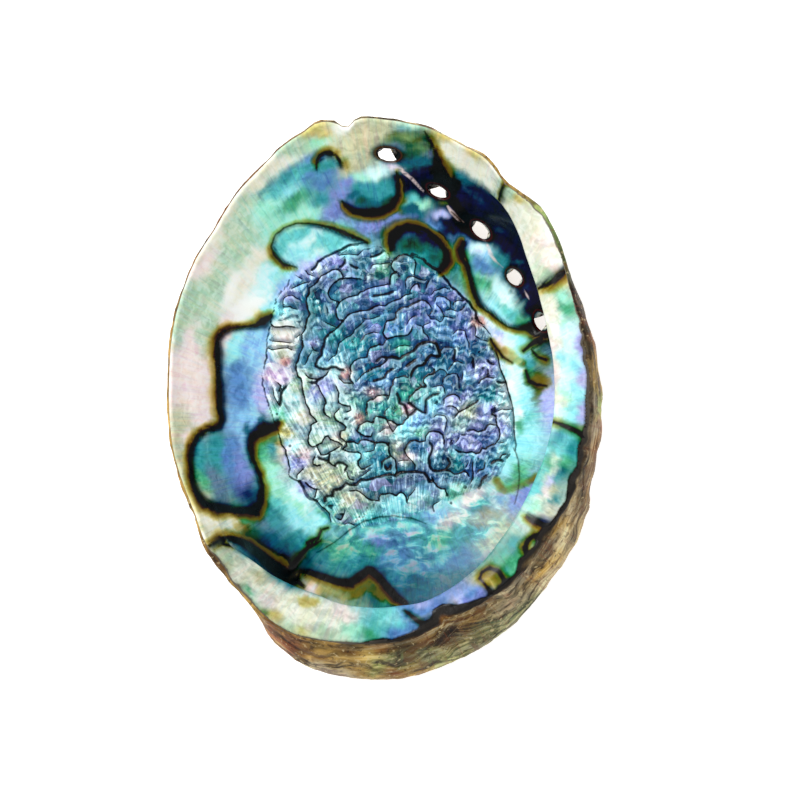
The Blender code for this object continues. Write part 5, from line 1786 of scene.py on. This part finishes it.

# %% [markdown]
# ## Crust
# The outside is horny layer and lime in thin flakes that end in steps under the rim, brown and olive with
# pale worn crests, rust-red growth lines and grey-green stains. The colour bands follow the same flakes and
# cords as the relief, so a paler crest is where the surface really stands up, and the flakes also carry
# painted highlight on their crests and painted shade in their hollows.

# %% Patterns on the crust
crust_bench = Bench("crust")
b = crust_bench
plain = b.place()
fan_place = b.read("fan", "Vector")
height = b.step("ShaderNodeSeparateXYZ", {0: plain}).outputs[2]
level = b.plus(b.times(height, 1000.0), b.range(b.grain(plain, 60.0, 2.0), 0.2, 0.8, -3.0, 3.0))


def flattened(place, sideways, up):
    """Places squeezed or drawn out sideways, with a height of their own."""
    parts = b.step("ShaderNodeSeparateXYZ", {0: place}).outputs
    wires = {0: b.times(parts[0], sideways), 1: b.times(parts[1], sideways), 2: up}
    return b.step("ShaderNodeCombineXYZ", wires).outputs[0]


sheet = flattened(plain, 90.0, level)
bands = b.grain(flattened(fan_place, 0.05, b.times(b.read("pearl"), 0.30)), 1.0, 4.0, 0.5)
flakes = b.grain(b.place((1, 1, 0.55), sheet), 1.0, 3.0, 0.3)
thick = b.grain(b.place((1, 1, 0.22), sheet), 1.0, 2.0, 0.5)
lumps = b.grain(plain, 140.0, 4.0, 0.5)
crumbs = b.grain(plain, 650.0, 4.0, 0.5)
spiral = b.step("ShaderNodeCombineXYZ", {0: b.read("growth"), 1: b.read("whorl"), 2: 0.0}).outputs[0]
cords = b.grain(b.place((5.0, 60.0, 1.0), spiral), 1.0, 3.0, 0.3)
lines = b.grain(b.place((90.0, 3.0, 1.0), spiral), 1.0, 3.0, 0.3)
print("steps for the crust's patterns:", len(b.tree.nodes))

# %% [markdown]
# ## Colours of the crust
# Flakes darken the soft patches in their hollows as painted shade and lighten them on their crests, partly as
# painted highlight; worn crests are chalky, and the hollows are painted umber as shade. Near the pearl a band
# of dark horny layer covers everything, and the border itself has the pearl's edge colour.

# %% Colours of the crust
colour = b.read("crust_wash", "Color")
patchy = b.grain(plain, 45.0, 3.0, 0.8)
earthy = b.ramp(patchy, (0.34, "bark"), (0.46, "ridge"), (0.56, "lead"), (0.68, "chalk"))
colour = b.mix(b.range(height, 0.030, 0.022, 0.0, 0.60), colour, earthy)
banded = b.ramp(bands, (0.34, "umber"), (0.42, "bark"), (0.49, "ridge"), (0.58, "sand"), (0.66, "ridge"))
colour = b.mix(b.times(b.read("horny_edge"), 0.3), colour, banded)
colour = b.tone(0.85, colour, thick, 0.34, 0.66, 0.30, 0.70)
# Painted light and shade on the flakes: lighter crests, darker hollows, and umber in the deepest part.
colour = b.tone(0.9, colour, flakes, 0.36, 0.64, 0.24, 0.74)
colour = b.mix(b.range(flakes, 0.43, 0.34, 0.0, 0.7), colour, b.tint("umber"))
clear = b.read("spiral_clear")
colour = b.mix(b.times(b.range(lines, 0.52, 0.68, 0.0, 0.35), clear), colour, b.tint("rust"))
colour = b.mix(b.times(b.range(cords, 0.54, 0.72, 0.0, 0.16), clear), colour, b.tint("chalk"))
colour = b.layers(
    colour,
    (crumbs, 0.59, 0.70, 0.55, "chalk", "MIX"),
    (crumbs, 0.43, 0.34, 0.6, "umber", "MIX"),
    (lumps, 0.44, 0.34, 0.6, "bark", "MIX"),
)
horny = b.read("horny_edge")
band = b.times(b.range(b.read("pearl"), -10.0, -5.0, 0.0, 0.80), horny)
colour = b.mix(band, colour, b.tint("umber"))
edge_colour = b.mix(horny, b.tint("lead"), b.tint("tar"))
band = b.range(b.read("pearl"), b.range(horny, 0.0, 2.0, -1.5, -10.5), b.range(horny, 0.0, 2.0, -0.3, -5.5))
colour = b.mix(band, colour, edge_colour)
b.tree.links.new(colour, b.shader.inputs["Base Color"])
b.shader.inputs["Specular IOR Level"].default_value = 0.2
b.tree.links.new(b.range(lumps, 0.3, 0.7, 0.5, 0.8), b.shader.inputs["Roughness"])
rough_skin = b.step("ShaderNodeBump", {"Height": crumbs, "Strength": 0.6, "Distance": 0.0008})
wires = {"Height": flakes, "Strength": 0.7, "Distance": 0.001, "Normal": rough_skin.outputs[0]}
rough_skin = b.step("ShaderNodeBump", wires)
b.tree.links.new(rough_skin.outputs[0], b.shader.inputs["Normal"])
print("crust recipe steps:", len(b.tree.nodes))

# %% [markdown]
# ## The finished piece
# One mesh carries both materials. Each face takes the pearl or the crust by which side of the border line
# most of it lies on, and both recipes fade to the same dark brown there, so the change doesn't show.

# %% Shell
shell_mesh.materials.append(pearl_bench.material)
shell_mesh.materials.append(crust_bench.material)
corner_vertex = np.empty(len(shell_mesh.loops), np.int32)
shell_mesh.loops.foreach_get("vertex_index", corner_vertex)
face_start = np.empty(len(shell_mesh.polygons), np.int32)
shell_mesh.polygons.foreach_get("loop_start", face_start)
face_size = np.empty(len(shell_mesh.polygons), np.int32)
shell_mesh.polygons.foreach_get("loop_total", face_size)
face_pearl = np.add.reduceat(pearl[corner_vertex], face_start) / face_size
shell_mesh.polygons.foreach_set("material_index", (face_pearl < 0).astype(np.int32))
shell_mesh.shade_smooth()
shell = bpy.data.objects.new("abalone_shell", shell_mesh)
bpy.context.scene.collection.objects.link(shell)
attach(shell, "root")
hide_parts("shell")
print("faces of pearl:", int((face_pearl >= 0).sum()), "of crust:", int((face_pearl < 0).sum()))

# %% [markdown]
# ## Floor
# The shell lies on a plain pale floor. It belongs to the picture and not to the piece.

# %% Floor
floor_bm = bmesh.new()
bmesh.ops.create_grid(floor_bm, x_segments=1, y_segments=1, size=3.0)
floor_mesh = bpy.data.meshes.new("floor")
floor_bm.to_mesh(floor_mesh)
floor_bm.free()
floor = bpy.data.objects.new("floor", floor_mesh)
bpy.context.scene.collection.objects.link(floor)
floor_bench = Bench("pale_floor")
floor_bench.shader.inputs["Base Color"].default_value = (0.94, 0.94, 0.94, 1.0)
floor_bench.shader.inputs["Roughness"].default_value = 0.9
floor_bench.shader.inputs["Emission Color"].default_value = (1.0, 1.0, 1.0, 1.0)
floor_bench.shader.inputs["Emission Strength"].default_value = 0.55
floor_mesh.materials.append(floor_bench.material)
print("floor, metres across:", round(floor.dimensions.x, 2))

# %% [markdown]
# ## Light
# A large soft lamp stands at the upper left, a weaker one across from it, and a white sky fills the rest.

# %% Light
def soft_light(name, place, size, power):
    light = bpy.data.lights.new(name, "AREA")
    light.shape = "DISK"
    light.size = size
    light.energy = power
    lamp = bpy.data.objects.new(name, light)
    bpy.context.scene.collection.objects.link(lamp)
    lamp.location = place
    lamp.rotation_euler = (-Vector(place)).to_track_quat("-Z", "Y").to_euler()


LAMPS = (("key_light", (-0.45, 0.40, 0.75), 0.5, 7.6), ("fill_light", (0.60, -0.25, 0.60), 0.6, 1.2))
for lamp in LAMPS:
    soft_light(*lamp)
world = bpy.data.worlds.new("studio")
world.use_nodes = True
world.node_tree.nodes["Background"].inputs["Color"].default_value = (1.0, 1.0, 1.0, 1.0)
world.node_tree.nodes["Background"].inputs["Strength"].default_value = 0.58
bpy.context.scene.world = world
bpy.context.scene.view_settings.view_transform = "Standard"
print("lamps and watts:", [(name, power) for name, _, _, power in LAMPS])

# %% [markdown]
# ## Camera
# The camera looks straight down from a metre up, as it did for the photograph. The long lens keeps the rim
# from looking wider than it is.

# %% Camera
camera = bpy.data.cameras.new("camera")
camera.lens = 143.7
camera.sensor_width = 36.0
camera.clip_start = 0.05
camera_object = bpy.data.objects.new("camera", camera)
bpy.context.scene.collection.objects.link(camera_object)
camera_object.location = (EYE_RIGHT * MM, 0.0, EYE * MM)
bpy.context.scene.camera = camera_object
print("camera a metre up, lens in mm:", round(camera.lens, 1))

# %% [markdown]
